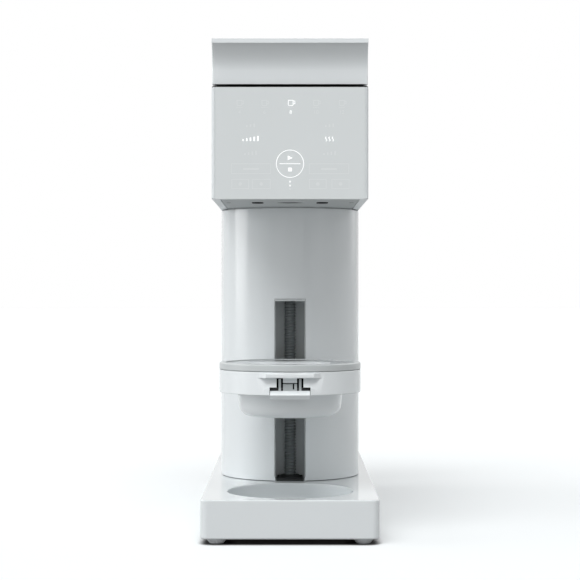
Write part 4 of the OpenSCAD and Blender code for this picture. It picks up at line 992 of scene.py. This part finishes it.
@dataclass
class Head:
    """The head: its shell, touch panel, spout plate and brew outlet."""

    wall: float = 2.6 * MM
    upright: float = 2.0 * MM
    edge: float = 0.5 * MM
    rim: float = 5.0 * MM
    ledge: float = 3.0 * MM
    ledge_thickness: float = 2.0 * MM
    behind_panel: float = 4.4 * MM
    panel_gap: float = 0.05 * MM
    panel_soft: float = 0.08 * MM
    # A thin band of painted shade fills the gap under the lid: its height, inset and rounding.
    lid_gap_shade: float = 0.5 * MM
    lid_gap_shade_inset: float = 0.15 * MM
    lid_gap_shade_soft: float = 0.15 * MM
    plate_gap: float = 0.3 * MM
    plate_soft: float = 0.3 * MM
    hole_play: float = 0.2 * MM
    vent_x: float = 21.0 * MM
    vent_radius: float = 3.75 * MM
    # Half length of the painted shade ovals over the vents, and how far they stand proud.
    vent_half_length: float = 6.0 * MM
    vent_proud: float = 0.05 * MM
    outlet_wall: float = 2.5 * MM
    outlet_flange: float = 5.0 * MM
    flange_thickness: float = 2.0 * MM
    outlet_lip: float = 1.0 * MM
    screw_x: float = 39.95 * MM
    screw_head: float = 2.0 * MM
    screw_sink: float = 1.2 * MM
    screw_dome: float = 0.5 * MM
    screw_shank: float = 1.5 * MM
    cross_arm: float = 1.2 * MM
    cross_half: float = 0.25 * MM
    cross_depth: float = 0.8 * MM

    def build(self) -> None:
        """Builds the head's visible pieces."""
        self._shell()
        self._lid_gap_shade()
        self._panel()
        self._spout_plate()
        self._paint_vent_shade()
        self._spout_screws()
        self._outlet()

    def _shell(self) -> None:
        """Builds the hollow shell with the panel's pocket and the opening for the plate underneath."""
        low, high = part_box("head_shell")
        panel_high, recess_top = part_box("control_panel")[1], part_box("spout_plate")[1].z
        half, wall = high.x, self.wall
        floor = recess_top + self.ledge_thickness
        front, back = low.y + self.rim, high.y - self.rim
        under, pocket = half - self.rim, panel_high.x + self.panel_gap
        way = under - self.ledge
        way_low, way_high = (-way, front + self.ledge, low.z), (way, back - self.ledge, floor + OVERSHOOT)
        below, above = beyond(low.z, high.z)
        inside_low = (wall - half, low.y + self.behind_panel, floor)
        shell = Piece.block("head_body", low, high)
        shell.round_uprights(self.upright)
        shell.cut(
            Piece.block("inside", inside_low, (half - wall, high.y - wall, above)),
            Piece.block("way_down", way_low, way_high),
        )
        shell.soften(self.edge)
        shell.cut(
            Piece.block("panel_pocket", (-pocket, low.y - OVERSHOOT, below), (pocket, panel_high.y, above)),
            Piece.block("recess", (-under, front, below), (under, back, recess_top)),
        )
        shell.shade()
        shell.fit("root", PALE_SOFT, "head_shell")

    def _lid_gap_shade(self) -> None:
        """Builds a thin near-black band round the head's rim under the lid: painted shade in the lid's gap.
        """
        low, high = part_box("head_shell")
        hinge_y, inset, wall = middle("lid_pin").y, self.lid_gap_shade_inset, self.wall
        top, back = high.z + self.lid_gap_shade, hinge_y - wall
        inside_low = (low.x + wall, low.y + self.behind_panel, high.z - OVERSHOOT)
        inside_high = (high.x - wall, back - wall, top + OVERSHOOT)
        outer_low, outer_high = (low.x + inset, low.y + inset, high.z), (high.x - inset, back, top)
        lid_gap_shade = Piece.block("rim_gap_shade", outer_low, outer_high)
        lid_gap_shade.round_uprights(self.upright, 4)
        lid_gap_shade.cut(Piece.block("inside", inside_low, inside_high))
        lid_gap_shade.soften(self.lid_gap_shade_soft, 2)
        lid_gap_shade.fit("root", SHADE)

    def _panel(self) -> None:
        """Builds the flush touch panel."""
        panel = Piece.block("touch_panel", *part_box("control_panel"))
        panel.soften(self.panel_soft, 2)
        panel.fit("root", PANEL, "control_panel")

    def _outlet_radius(self) -> float:
        """Returns the outer radius of the brew outlet's tube."""
        low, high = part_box("brew_outlet")
        return (high.x - low.x) / 2 - self.outlet_flange

    def _spout_plate(self) -> None:
        """Builds the flush plate round the outlet, hollowed behind to meet the column."""
        low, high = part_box("spout_plate")
        column_low, column_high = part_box("column_shell")
        radius = column_high.x + self.plate_gap
        turn = math.degrees(math.acos(high.x / radius))
        outline = [(low.x, low.y), (high.x, low.y)]
        axis = (0.0, column_low.y + column_high.x)
        outline += arc(axis, radius, 360.0 - turn, 180.0 + turn, SEGMENTS)
        plate = Piece.prism("spout_plate_body", outline, Axis.Z, low.z, high.z)
        y, play = middle("brew_outlet").y, self.hole_play
        foot, top = beyond(low.z, high.z)
        outlet = (0.0, middle("drip_grate").y)
        holes = [Piece.rod("outlet_hole", Axis.Z, outlet, self._outlet_radius() + play, foot, top)]
        sink, head = low.z + self.screw_sink, self.screw_head + play
        for side in SIDES:
            holes.append(Piece.rod("vent", Axis.Z, (side * self.vent_x, y), self.vent_radius, foot, top))
            holes.append(Piece.rod("screw_sink", Axis.Z, (side * self.screw_x, y), head, foot, sink))
        plate.cut(*holes)
        plate.soften(self.plate_soft, 2)
        # The plate takes the darker pale copy: painted shade of the head's underside.
        plate.fit("root", PALE_SHADED, "spout_plate")

    def _paint_vent_shade(self) -> None:
        """Builds two near-black ovals over the vents, longer than their holes: painted shade of the openings.
        """
        low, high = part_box("spout_plate")
        near, far = span(middle("brew_outlet").y, self.vent_half_length)
        shades = []
        for x in (side * self.vent_x for side in SIDES):
            outline = arc((x, far), self.vent_radius, 0.0, 180.0, 12)
            outline += arc((x, near), self.vent_radius, 180.0, 360.0, 12)
            shades.append(Piece.prism("shade", outline, Axis.Z, low.z - self.vent_proud, high.z))
        shade = Piece.join("vent_painted_shades", shades)
        shade.shade()
        shade.fit("root", SHADE)

    def _spout_screws(self) -> None:
        """Builds the two cross-head screws of the spout plate."""
        low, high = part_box("spout_screws")
        x, y = -self.screw_x, middle("spout_screws").y
        head, dome, shank = self.screw_head, self.screw_dome, self.screw_shank
        shoulder = low.z + self.screw_sink
        profile = [(0.0, low.z), (head - dome, low.z), (head, low.z + dome)]
        profile += [(head, shoulder), (shank, shoulder), (shank, high.z), (0.0, high.z)]
        screw = Piece.lathe("screw", profile, (x, y))
        below, cross_top = low.z - OVERSHOOT, low.z + self.cross_depth
        for half_x, half_y in ((self.cross_arm, self.cross_half), (self.cross_half, self.cross_arm)):
            screw.cut(
                Piece.block("cross", (x - half_x, y - half_y, below), (x + half_x, y + half_y, cross_top))
            )
        screws = Piece.join("spout_cross_screws", [screw, screw.copy((-2 * x, 0.0, 0.0))])
        screws.shade()
        screws.fit("root", SHADE, "spout_screws")

    def _outlet(self) -> None:
        """Builds the brew outlet, a tube with a rounded mouth and a flange above the plate."""
        low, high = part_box("brew_outlet")
        plate_top, lip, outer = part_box("spout_plate")[1].z, self.outlet_lip, self._outlet_radius()
        inner, flange_top = outer - self.outlet_wall, plate_top + self.flange_thickness
        profile = [(inner, high.z)]
        profile += arc((inner + lip, low.z + lip), lip, 180.0, 270.0, 4)
        profile += arc((outer - lip, low.z + lip), lip, 270.0, 360.0, 4)
        profile += [(outer, plate_top), (high.x, plate_top), (high.x, flange_top), (outer, flange_top)]
        profile += [(outer, high.z)]
        outlet = Piece.lathe("brew_outlet_tube", profile, "drip_grate", ring=True)
        outlet.shade()
        outlet.fit("root", GREY, "brew_outlet")


@dataclass
class PanelMarks:
    """The panel's lit and dim marks, placed by the pixels of the front view.

    They are cup sizes, level bars, key frames and the start ring. Places are pixels; sizes are lengths.
    """

    pixels_per_mm: float = 1.611
    centre_pixel: float = 290.0
    centre_height: float = 158.5
    proud: float = 0.05 * MM
    line: float = 0.4 * MM
    cup_half: float = 1.7 * MM
    cup_tall: float = 2.2 * MM
    cup_round: float = 0.9 * MM
    cup_lift: float = 0.7 * MM
    grip: float = 1.1 * MM
    grip_top: float = 0.5 * MM
    grip_end: float = 2.6 * MM
    saucer: float = 0.3 * MM
    number_size: float = 3.3 * MM
    bar_step: float = 2.3 * MM
    bar_half: float = 0.45 * MM
    bar_drop: float = 1.3 * MM
    bar_first: float = 1.2 * MM
    bar_rise: float = 0.5 * MM
    wave_sway: float = 0.35 * MM
    wave_tall: float = 2.9 * MM
    wave_half: float = 0.3 * MM
    wave_step: float = 2.1 * MM
    wave_chords: int = 12
    divider_half: float = 6.5 * MM
    arrow: float = 1.4 * MM
    arrow_stretch: float = 1.2
    sign_lift: float = 3.6 * MM
    stop_half: float = 1.15 * MM
    key_dot: float = 1.1 * MM
    small_dot: float = 0.55 * MM
    cup_columns: tuple[float, ...] = (239.5, 264.4, 290.7, 316.0, 341.8)
    cup_sizes: tuple[str, ...] = ("4", "6", "8", "10", "12")
    lit_size: str = "8"
    cup_row: float = 103.5
    number_row: float = 112.3
    level_columns: Flat = (250.5, 329.5)
    level_rows: tuple[float, float, float] = (125.0, 139.0, 153.0)
    level_counts: tuple[int, int, int] = (3, 5, 4)
    wide_keys: tuple[Flat, ...] = ((231.0, 271.0), (309.0, 349.0))
    wide_rows: Flat = (174.0, 163.5)
    wide_bar: float = 8.0
    wide_bar_rows: Flat = (170.0, 168.0)
    small_keys: tuple[Flat, ...] = ((231.5, 249.0), (252.0, 270.6), (309.0, 326.5), (331.6, 349.4))
    small_rows: Flat = (189.0, 179.0)
    ring_row: float = 163.75
    ring_radius: float = 14.0
    dot_rows: tuple[tuple[float, bool], ...] = ((181.6, True), (185.6, True), (189.0, False))
    marks: dict[bool, list[Piece]] = field(default_factory=lambda: {True: [], False: []})

    def __post_init__(self) -> None:
        """Reads the panel's face from the frame."""
        self.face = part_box("control_panel")[0].y

    def spot(self, x: float, y: float) -> Flat:
        """Returns the point of the panel that shows at a pixel."""
        u = (x - self.centre_pixel) / self.pixels_per_mm
        v = self.centre_height + (self.centre_pixel - y) / self.pixels_per_mm
        return u * MM, v * MM

    def shape(self, outline: Sequence[Flat], lit: bool) -> None:
        """Lays a thin mark of that outline on the panel."""
        self.marks[lit].append(Piece.prism("mark", outline, Axis.Y, *span(self.face, self.proud)))

    def bar(self, low: Flat, high: Flat, lit: bool) -> None:
        """Lays a rectangle between two corners."""
        self.shape([low, (high[0], low[1]), high, (low[0], high[1])], lit)

    def key(self, low: Flat, high: Flat) -> None:
        """Lays the four dim lines of a key's frame between two corners."""
        line = self.line
        (left, foot), (right, top) = low, high
        self.bar(low, (right, foot + line), False)
        self.bar((left, top - line), high, False)
        self.bar((left, foot + line), (left + line, top - line), False)
        self.bar((right - line, foot + line), (right, top - line), False)

    def dot(self, centre: Flat, radius: float, lit: bool) -> None:
        """Lays a round dot."""
        self.shape(arc(centre, radius, 0.0, 360.0, 24)[:-1], lit)

    def cup(self, x: float, lit: bool) -> None:
        """Lays a cup with its handle and saucer in a column of pixels."""
        u, v = self.spot(x, self.cup_row)
        left, right = span(u, self.cup_half)
        line, bend = self.line, self.cup_round
        foot, rim = span(v, self.cup_tall)
        low = foot + self.cup_lift
        outer, inner = [(left, rim)], [(left + line, rim)]
        for points, radius in ((outer, bend), (inner, bend - line)):
            points.extend(arc((left + bend, low + bend), radius, 180.0, 270.0, 4))
            points.extend(arc((right - bend, low + bend), radius, 270.0, 360.0, 4))
        outer += [(right, rim)]
        inner += [(right - line, rim)]
        self.shape(outer + inner[::-1], lit)
        self.bar((left + line, rim - line), (right - line, rim), lit)
        grip, top, end = right + self.grip, rim - self.grip_top, rim - self.grip_end
        self.bar((right, top - line), (grip, top), lit)
        self.bar((right, end), (grip, end + line), lit)
        self.bar((grip - line, end + line), (grip, top - line), lit)
        self.bar((left - self.saucer, foot - self.saucer), (right + self.saucer, foot), False)

    def number(self, x: float, text: str, lit: bool) -> None:
        """Lays a plain number in a column of pixels."""
        Piece.clear()
        bpy.ops.object.text_add()
        words = Piece("number")
        settings = words.solid.data
        settings.body = text
        settings.size = self.number_size
        settings.align_x = "CENTER"
        settings.align_y = "CENTER"
        settings.extrude = self.proud
        settings.resolution_u = 4
        words.focus()
        bpy.ops.object.convert(target="MESH")
        mark = Piece("number")
        u, v = self.spot(x, self.number_row)
        mark.solid.location = (u, self.face, v)
        mark.solid.rotation_euler = (math.radians(90.0), 0.0, 0.0)
        mark.settle()
        self.marks[lit].append(mark)

    def levels(self, x: float, y: float, count: int, lit: bool) -> None:
        """Lays a row of rising bars, its middle at a pixel."""
        u, v = self.spot(x, y)
        first, foot = u - self.bar_step * (count - 1) / 2, v - self.bar_drop
        for place in range(count):
            left, right = span(first + self.bar_step * place, self.bar_half)
            self.bar((left, foot), (right, foot + self.bar_first + self.bar_rise * place), lit)

    def waves(self, x: float, y: float) -> None:
        """Lays three lit upright waves, the sign of heat, their middle at a pixel."""
        u, v = self.spot(x, y)
        tall, half, chords = self.wave_tall, self.wave_half, self.wave_chords
        for centre in (u - self.wave_step, u, u + self.wave_step):
            turns = [i / chords for i in range(chords + 1)]
            path = [(centre + self.wave_sway * math.sin(math.tau * t), v + tall * (t - 0.5)) for t in turns]
            left, right = ([(s + shift, h) for s, h in path] for shift in (-half, half))
            self.shape(left[::-1] + right, True)

    def start_ring(self) -> None:
        """Lays the start ring: circle, divider, start arrow and stop square."""
        u, v = self.spot(self.centre_pixel, self.ring_row)
        radius = self.ring_radius / self.pixels_per_mm * MM
        ring = Piece.rod("ring", Axis.Y, (u, v), radius, *span(self.face, self.proud))
        ring.cut(Piece.rod("hole", Axis.Y, (u, v), radius - self.line, *beyond(self.face, self.face)))
        self.marks[True].append(ring)
        half, thin = self.divider_half, self.line / 2
        self.bar((u - half, v - thin), (u + half, v + thin), True)
        arrow, top, foot = self.arrow, v + self.sign_lift, v - self.sign_lift
        tip = (u + arrow * self.arrow_stretch, top)
        self.shape([(u - arrow, top - arrow), tip, (u - arrow, top + arrow)], True)
        stop = self.stop_half
        self.bar((u - stop, foot - stop), (u + stop, foot + stop), True)

    def build(self) -> None:
        """Lays every mark, and joins the lit ones and the dim ones."""
        for x, size in zip(self.cup_columns, self.cup_sizes):
            self.cup(x, size == self.lit_size)
            self.number(x, size, size == self.lit_size)
        left, right = self.level_columns
        upper, main_row, lower = self.level_rows
        few, full, some = self.level_counts
        self.levels(left, main_row, full, True)
        self.waves(right, main_row)
        for x in self.level_columns:
            self.levels(x, upper, few, False)
            self.levels(x, lower, some, False)
        bar_foot, bar_top = self.wide_bar_rows
        for start, end in self.wide_keys:
            self.key(self.spot(start, self.wide_rows[0]), self.spot(end, self.wide_rows[1]))
            bar_left, bar_right = span((start + end) / 2, self.wide_bar)
            self.bar(self.spot(bar_left, bar_foot), self.spot(bar_right, bar_top), False)
        for start, end in self.small_keys:
            self.key(self.spot(start, self.small_rows[0]), self.spot(end, self.small_rows[1]))
            self.dot(self.spot((start + end) / 2, sum(self.small_rows) / 2), self.key_dot, False)
        self.start_ring()
        for y, lit in self.dot_rows:
            self.dot(self.spot(self.centre_pixel, y), self.small_dot, lit)
        Piece.join("lit_panel_marks", self.marks[True]).fit("root", LIT)
        Piece.join("dim_panel_marks", self.marks[False]).fit("root", DIM)


@dataclass
class Lid:
    """The brew lid with its hollowed face, and the rear housing that carries its hinge."""

    wall: float = 2.4 * MM
    lip: float = 2.7 * MM
    lip_reach: float = 8.0 * MM
    cove: float = 20.0 * MM
    edge: float = 0.4 * MM
    side_round: float = 0.8 * MM
    back_set: float = 0.5 * MM
    hinge_radius: float = 6.0 * MM
    hinge_gap: float = 0.6 * MM
    bore_end: float = 1.4 * MM
    lug_x: float = 40.25 * MM
    lug_half: float = 4.0 * MM
    lug_bite: float = 0.5 * MM
    side_gap: float = 0.3 * MM
    housing_wall: float = 2.6 * MM
    rear_upright: float = 2.0 * MM

    def build(self) -> None:
        """Builds the lid and the rear housing."""
        self._lid()
        self._housing()

    def _lid(self) -> None:
        """Builds the lid from its side profile, hollow underneath."""
        low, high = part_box("lid_shell")
        pin = Axis.X.spot("lid_pin")
        hinge_y, hinge_z = pin
        wall, hinge, cove = self.wall, self.hinge_radius, self.cove
        face, lip_foot, back = low.y + self.lip_reach, high.z - self.lip, hinge_y - self.back_set
        sweep = math.acos(1.0 - self.lip_reach / cove)
        cove_at = (face - cove, lip_foot - cove * math.sin(sweep))
        outline = [(back, low.z), (face, low.z)]
        outline += arc(cove_at, cove, 0.0, math.degrees(sweep), 24)
        outline += [(low.y, high.z)]
        outline += arc(pin, hinge, 90.0, -90.0, 24)
        outline += [(back, hinge_z - hinge)]
        lid = Piece.prism("lid_body", outline, Axis.X, low.x, high.x)

        def on_face(a: Vector, b: Vector) -> bool:
            """Says whether an edge runs down one of the two ends of the hollow face."""
            in_front = max(a.y, b.y) < face + TOUCH and max(a.z, b.z) < lip_foot
            return in_front and abs(a.x - b.x) < TOUCH

        lid.round_edges(on_face, self.side_round, 5)
        inside_low = (low.x + wall, face + wall, low.z - OVERSHOOT)
        inside_high = (high.x - wall, hinge_y - hinge - wall, high.z - wall)
        notch, half, bore = hinge + self.hinge_gap, self.lug_half + self.side_gap, high.x - self.bore_end
        lid.cut(
            Piece.block("inside", inside_low, inside_high),
            *(Piece.rod("notch", Axis.X, pin, notch, *span(side * self.lug_x, half)) for side in SIDES),
            Piece.pin_bore("lid_pin", -bore, bore),
        )
        lid.soften(self.edge)
        lid.fit("lid", PALE_TOP, "lid_shell")

    def _housing(self) -> None:
        """Builds the rear housing and its two hinge lugs."""
        low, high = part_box("rear_housing")
        pin = Axis.X.spot("lid_pin")
        hinge_y, hinge_z = pin
        wall, hinge = self.housing_wall, self.hinge_radius
        sweep = hinge + self.hinge_gap
        upper_front = hinge_y + sweep
        drop = math.degrees(math.acos(self.hinge_gap / sweep))
        outline = [(hinge_y + self.hinge_gap, low.z), (high.y, low.z)]
        outline += [(high.y, high.z), (upper_front, high.z)]
        outline += arc(pin, sweep, 0.0, -drop, 16)
        housing = Piece.prism("rear_housing_body", outline, Axis.X, low.x, high.x)
        rear = high.y - TOUCH
        housing.round_edges(
            lambda a, b: min(a.y, b.y) > rear and abs(a.z - b.z) > self.wall, self.rear_upright, 6
        )
        root_back = upper_front + self.lug_bite
        for side in SIDES:
            left, right = span(side * self.lug_x, self.lug_half)
            housing.weld(
                Piece.rod("lug", Axis.X, pin, hinge, left, right),
                Piece.block("lug_root", (left, hinge_y, hinge_z - hinge), (right, root_back, hinge_z)),
            )
        inside_low = (low.x + wall, upper_front + wall, low.z - OVERSHOOT)
        inside_high = (high.x - wall, high.y - wall, high.z - wall)
        bore = high.x + OVERSHOOT
        housing.cut(Piece.block("inside", inside_low, inside_high), Piece.pin_bore("lid_pin", -bore, bore))
        housing.soften(self.edge)
        housing.fit("root", PALE_TOP, "rear_housing")


@dataclass
class WaterTank:
    """The clear water tank and its hinged lid."""

    wall: float = 2.2 * MM
    corner: float = 12.0 * MM
    depth: float = 68.0 * MM
    height: float = 266.0 * MM
    foot_round: float = 1.5 * MM
    valve_hole: float = 7.2 * MM
    barrel: float = 3.0 * MM
    lug_x: float = 21.0 * MM
    lug_half: float = 3.0 * MM
    lug_height: float = 10.0 * MM
    lug_back: float = 1.0 * MM
    bite: float = 0.5 * MM
    relief: float = 0.7 * MM
    knuckle_gap: float = 0.4 * MM
    knuckle_root: float = 2.0 * MM
    skirt_height: float = 4.0 * MM
    skirt_inset: float = 3.4 * MM
    lid_gap: float = 0.2 * MM
    lid_thickness: float = 3.7 * MM
    tank_soft: float = 0.4 * MM
    lid_soft: float = 0.5 * MM

    def build(self) -> None:
        """Builds the tank and its lid."""
        self._tank()
        self._lid()

    def _tank(self) -> None:
        """Builds the open tank with rounded corners and two hinge lugs."""
        low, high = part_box("water_tank")
        pin = Axis.X.spot("tank_hinge_pin")
        hinge_y, hinge_z = pin
        wall, back, top = self.wall, low.y + self.depth, low.z + self.height
        tank = Piece.block("water_tank_body", low, (high.x, back, top))
        tank.round_uprights(self.corner, 12)
        tank.round_edges(lambda a, b: max(a.z, b.z) < low.z + TOUCH, self.foot_round, 4)
        lug_foot, lug_back = hinge_z - self.lug_height, hinge_y + self.lug_back
        for side in SIDES:
            left, right = span(side * self.lug_x, self.lug_half)
            tank.weld(
                Piece.rod("lug", Axis.X, pin, self.barrel, left, right),
                Piece.block("lug_root", (left, back - self.bite, lug_foot), (right, lug_back, hinge_z)),
            )
        inside_low = low + Vector((wall, wall, wall))
        inside = Piece.block("inside", inside_low, (high.x - wall, back - wall, top + OVERSHOOT))
        inside.round_uprights(self.corner - wall, 12)
        floor_to = low.z + 2 * wall
        tank.cut(
            inside,
            Piece.pin_bore("tank_hinge_pin", low.x, high.x),
            Piece.rod("valve_hole", Axis.Z, "tank_valve", self.valve_hole, low.z - OVERSHOOT, floor_to),
        )
        tank.soften(self.tank_soft, 2)
        tank.fit("tank", SMOKE, "water_tank")

    def _lid(self) -> None:
        """Builds the tank's lid with its skirt and hinge knuckle."""
        low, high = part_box("water_tank")
        pin = Axis.X.spot("tank_hinge_pin")
        hinge_y, inset = pin[0], self.skirt_inset
        tank_top, back = low.z + self.height, low.y + self.depth
        foot = tank_top + self.lid_gap
        top = foot + self.lid_thickness
        below, above = beyond(foot, top)
        lid = Piece.block("tank_lid_body", (low.x, low.y, foot), (high.x, back, top))
        lid.round_uprights(self.corner, 12)
        relief_front = hinge_y - self.barrel - self.relief
        lid.cut(Piece.block("relief", (2 * low.x, relief_front, below), (2 * high.x, 2 * back, above)))
        skirt_low = (low.x + inset, low.y + inset, tank_top - self.skirt_height)
        skirt = Piece.block("skirt", skirt_low, (high.x - inset, back - inset, foot + self.bite))
        skirt.round_uprights(self.corner - inset, 10)
        half = self.lug_x - self.lug_half - self.knuckle_gap
        root_front = hinge_y - self.barrel - self.knuckle_root
        lid.weld(
            skirt,
            Piece.rod("knuckle", Axis.X, pin, self.barrel, -half, half),
            Piece.block("knuckle_root", (-half, root_front, foot), (half, hinge_y, top)),
        )
        lid.cut(Piece.pin_bore("tank_hinge_pin", low.x, high.x))
        lid.soften(self.lid_soft)
        lid.fit("tank_cover", DARK, "tank_lid")


@dataclass
class PodWell:
    """What shows under the open lid: the pod holder and the seal."""

    wall: float = 2.0 * MM
    mouth: float = 24.5 * MM
    taper: float = 3.0 * MM
    flange: float = 1.5 * MM
    drain: float = 3.05 * MM
    holder_soft: float = 0.4 * MM
    seal_outer: float = 20.5 * MM
    seal_inner: float = 16.5 * MM
    seal_lip: float = 0.8 * MM

    def build(self) -> None:
        """Builds the pod holder and the seal."""
        self._holder()
        self._seal()

    def _holder(self) -> None:
        """Builds the tapered pod holder with its flange and drain."""
        low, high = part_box("pod_holder")
        wall, floor, foot = self.wall, low.z + self.wall, self.mouth - self.taper
        flange_foot = high.z - self.flange
        slope = self.taper * self.flange / (high.z - low.z)
        profile = [(self.drain, low.z), (foot + wall, low.z), (self.mouth + wall - slope, flange_foot)]
        profile += [(high.x, flange_foot), (high.x, high.z), (self.mouth, high.z)]
        profile += [(foot, floor), (self.drain, floor)]
        holder = Piece.lathe("pod_holder_cup", profile, "pod_holder", ring=True)
        holder.soften(self.holder_soft, 2)
        holder.fit("root", DARK, "pod_holder")

    def _seal(self) -> None:
        """Builds the rubber ring that presses on the pod."""
        low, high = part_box("pod_seal")
        inner, outer, lip = self.seal_inner, self.seal_outer, self.seal_lip
        profile = [(inner, high.z)]
        profile += arc((inner + lip, low.z + lip), lip, 180.0, 270.0, 4)
        profile += arc((outer - lip, low.z + lip), lip, 270.0, 360.0, 4)
        profile += [(outer, high.z)]
        seal = Piece.lathe("pod_seal_ring", profile, "pod_seal", ring=True)
        seal.shade()
        seal.fit("lid", RUBBER, "pod_seal")


@dataclass(frozen=True)
class Lamp:
    """A wide, even studio lamp, far enough away that its light doesn't fall off."""

    name: str
    comes_from: tuple[float, float, float]
    level: float
    spread: float

    def build(self) -> None:
        """Adds the lamp."""
        Piece.clear()
        bpy.ops.object.light_add(type="SUN", location=self.comes_from)
        lamp = bpy.context.object
        lamp.name = self.name
        lamp.data.energy = self.level * math.pi
        lamp.data.angle = math.radians(self.spread)
        lamp.rotation_euler = (-Vector(self.comes_from)).to_track_quat("-Z", "Y").to_euler()


@dataclass
class Studio:
    """Floor, world, lamps and camera."""

    floor_half: float = 12.0
    floor_colour: Colour = (0.735, 0.765, 0.775)
    floor_bounce: Colour = (0.35, 0.35, 0.35)
    floor_lift: float = 0.17
    floor_roughness: float = 0.6
    # Reach and levels of the shade painted on the floor close under the machine.
    contact: float = 6.5 * MM
    contact_dark: float = 0.32
    contact_light: float = 0.8
    world_light: float = 0.15
    camera_place: tuple[float, float, float] = (0.0, -1.155, 0.1585)
    camera_reach: float = 100.0
    lens: float = 100.0
    sensor: float = 36.0
    lamps: tuple[Lamp, ...] = (
        Lamp("side_left", (-1.0, 0.0, 0.25), 0.38, 36.0),
        Lamp("key_left", (-0.4, -0.55, 0.75), 0.37, 36.0),
        Lamp("front_high", (0.0, -0.5, 0.87), 0.43, 40.0),
        Lamp("front_low", (0.0, -1.0, 0.25), 0.1, 50.0),
        Lamp("fill_right", (0.7, -0.6, 0.45), 0.09, 50.0),
        Lamp("rim_right", (0.7, 0.6, 0.45), 0.15, 50.0),
        Lamp("back_left", (-0.6, 0.6, 0.6), 0.1, 50.0),
    )

    def build(self) -> None:
        """Builds the set."""
        self._floor()
        self._world()
        for lamp in self.lamps:
            lamp.build()
        self._camera()
        bpy.context.scene.view_settings.view_transform = "Standard"

    @staticmethod
    def _seen(wiring: Wiring) -> bpy.types.NodeSocket:
        """Returns a socket that is 1 where the camera, a reflection or clear plastic sees the set."""
        camera = wiring.add("LightPath", "Is Camera Ray", {})
        rays = camera.node.outputs
        first = wiring.add("Math", "Value", {0: camera, 1: rays["Is Glossy Ray"]}, operation="MAXIMUM")
        return wiring.add("Math", "Value", {0: first, 1: rays["Is Transmission Ray"]}, operation="MAXIMUM")

    def _floor(self) -> None:
        """Lays a pale floor that keeps the shadow, has shade painted close under the base and turns white
        where lit.
        """
        Piece.clear()
        bpy.ops.mesh.primitive_plane_add(size=2 * self.floor_half)
        floor = Piece("floor").solid
        material = bpy.data.materials.new("pale_floor")
        wiring = Wiring(material)
        seen = self._seen(wiring)
        # Ambient occlusion paints shade close under the machine: it darkens the floor's colour and its glow
        # there.
        nearness = wiring.add("AmbientOcclusion", "AO", {"Distance": self.contact})
        reach = {"Value": nearness, "From Min": self.contact_dark, "From Max": self.contact_light}
        clear = wiring.add("MapRange", "Result", reach)
        shades = {"Factor": clear, "A": (0.0, 0.0, 0.0, 1.0), "B": (*self.floor_colour, 1.0)}
        pale = wiring.add("Mix", "Result", shades, data_type="RGBA")
        views = {"Factor": seen, "A": (*self.floor_bounce, 1.0), "B": pale}
        colour = wiring.add("Mix", "Result", views, data_type="RGBA")
        lift = wiring.add("Math", "Value", {0: seen, 1: self.floor_lift}, operation="MULTIPLY")
        glow = wiring.add("Math", "Value", {0: lift, 1: clear}, operation="MULTIPLY")
        surface = {
            "Base Color": colour,
            "Roughness": self.floor_roughness,
            "Emission Color": (1.0, 1.0, 1.0, 1.0),
            "Emission Strength": glow,
        }
        wiring.feed(wiring.tree.nodes["Principled BSDF"], surface)
        floor.data.materials.append(material)

    def _world(self) -> None:
        """Sets a plain white surround that lights softly."""
        world = bpy.data.worlds.new("surround")
        bpy.context.scene.world = world
        wiring = Wiring(world)
        levels = {"Value": self._seen(wiring), "To Min": self.world_light, "To Max": 1.0}
        strength = wiring.add("MapRange", "Result", levels)
        background = wiring.tree.nodes["Background"]
        wiring.feed(background, {"Color": (1.0, 1.0, 1.0, 1.0), "Strength": strength})

    def _camera(self) -> None:
        """Sets the level camera in front of the machine."""
        Piece.clear()
        bpy.ops.object.camera_add(location=self.camera_place, rotation=(math.radians(90.0), 0.0, 0.0))
        camera = bpy.context.object
        camera.name = "photo_camera"
        camera.data.lens = self.lens
        camera.data.sensor_width = self.sensor
        camera.data.clip_end = self.camera_reach
        bpy.context.scene.camera = camera


def dress_nodes(finishes: dict[Finish, Iterable[str]]) -> None:
    """Gives the carried-over nodes their finishes."""
    for finish, nodes in finishes.items():
        for node in nodes:
            finish.coat_node(node)
            LOG.info("%s keeps its shape, with %s", node, finish.name)


def main() -> None:
    """Builds every sub-assembly, then the set."""
    logging.basicConfig(level=logging.INFO, format="%(name)s: %(message)s")
    dress_nodes(NODE_FINISHES)
    for part in (Base(), Column(), Tray(), Head(), PanelMarks(), Lid(), WaterTank(), PodWell()):
        part.build()
    Studio().build()


if __name__ == "__main__":
    main()
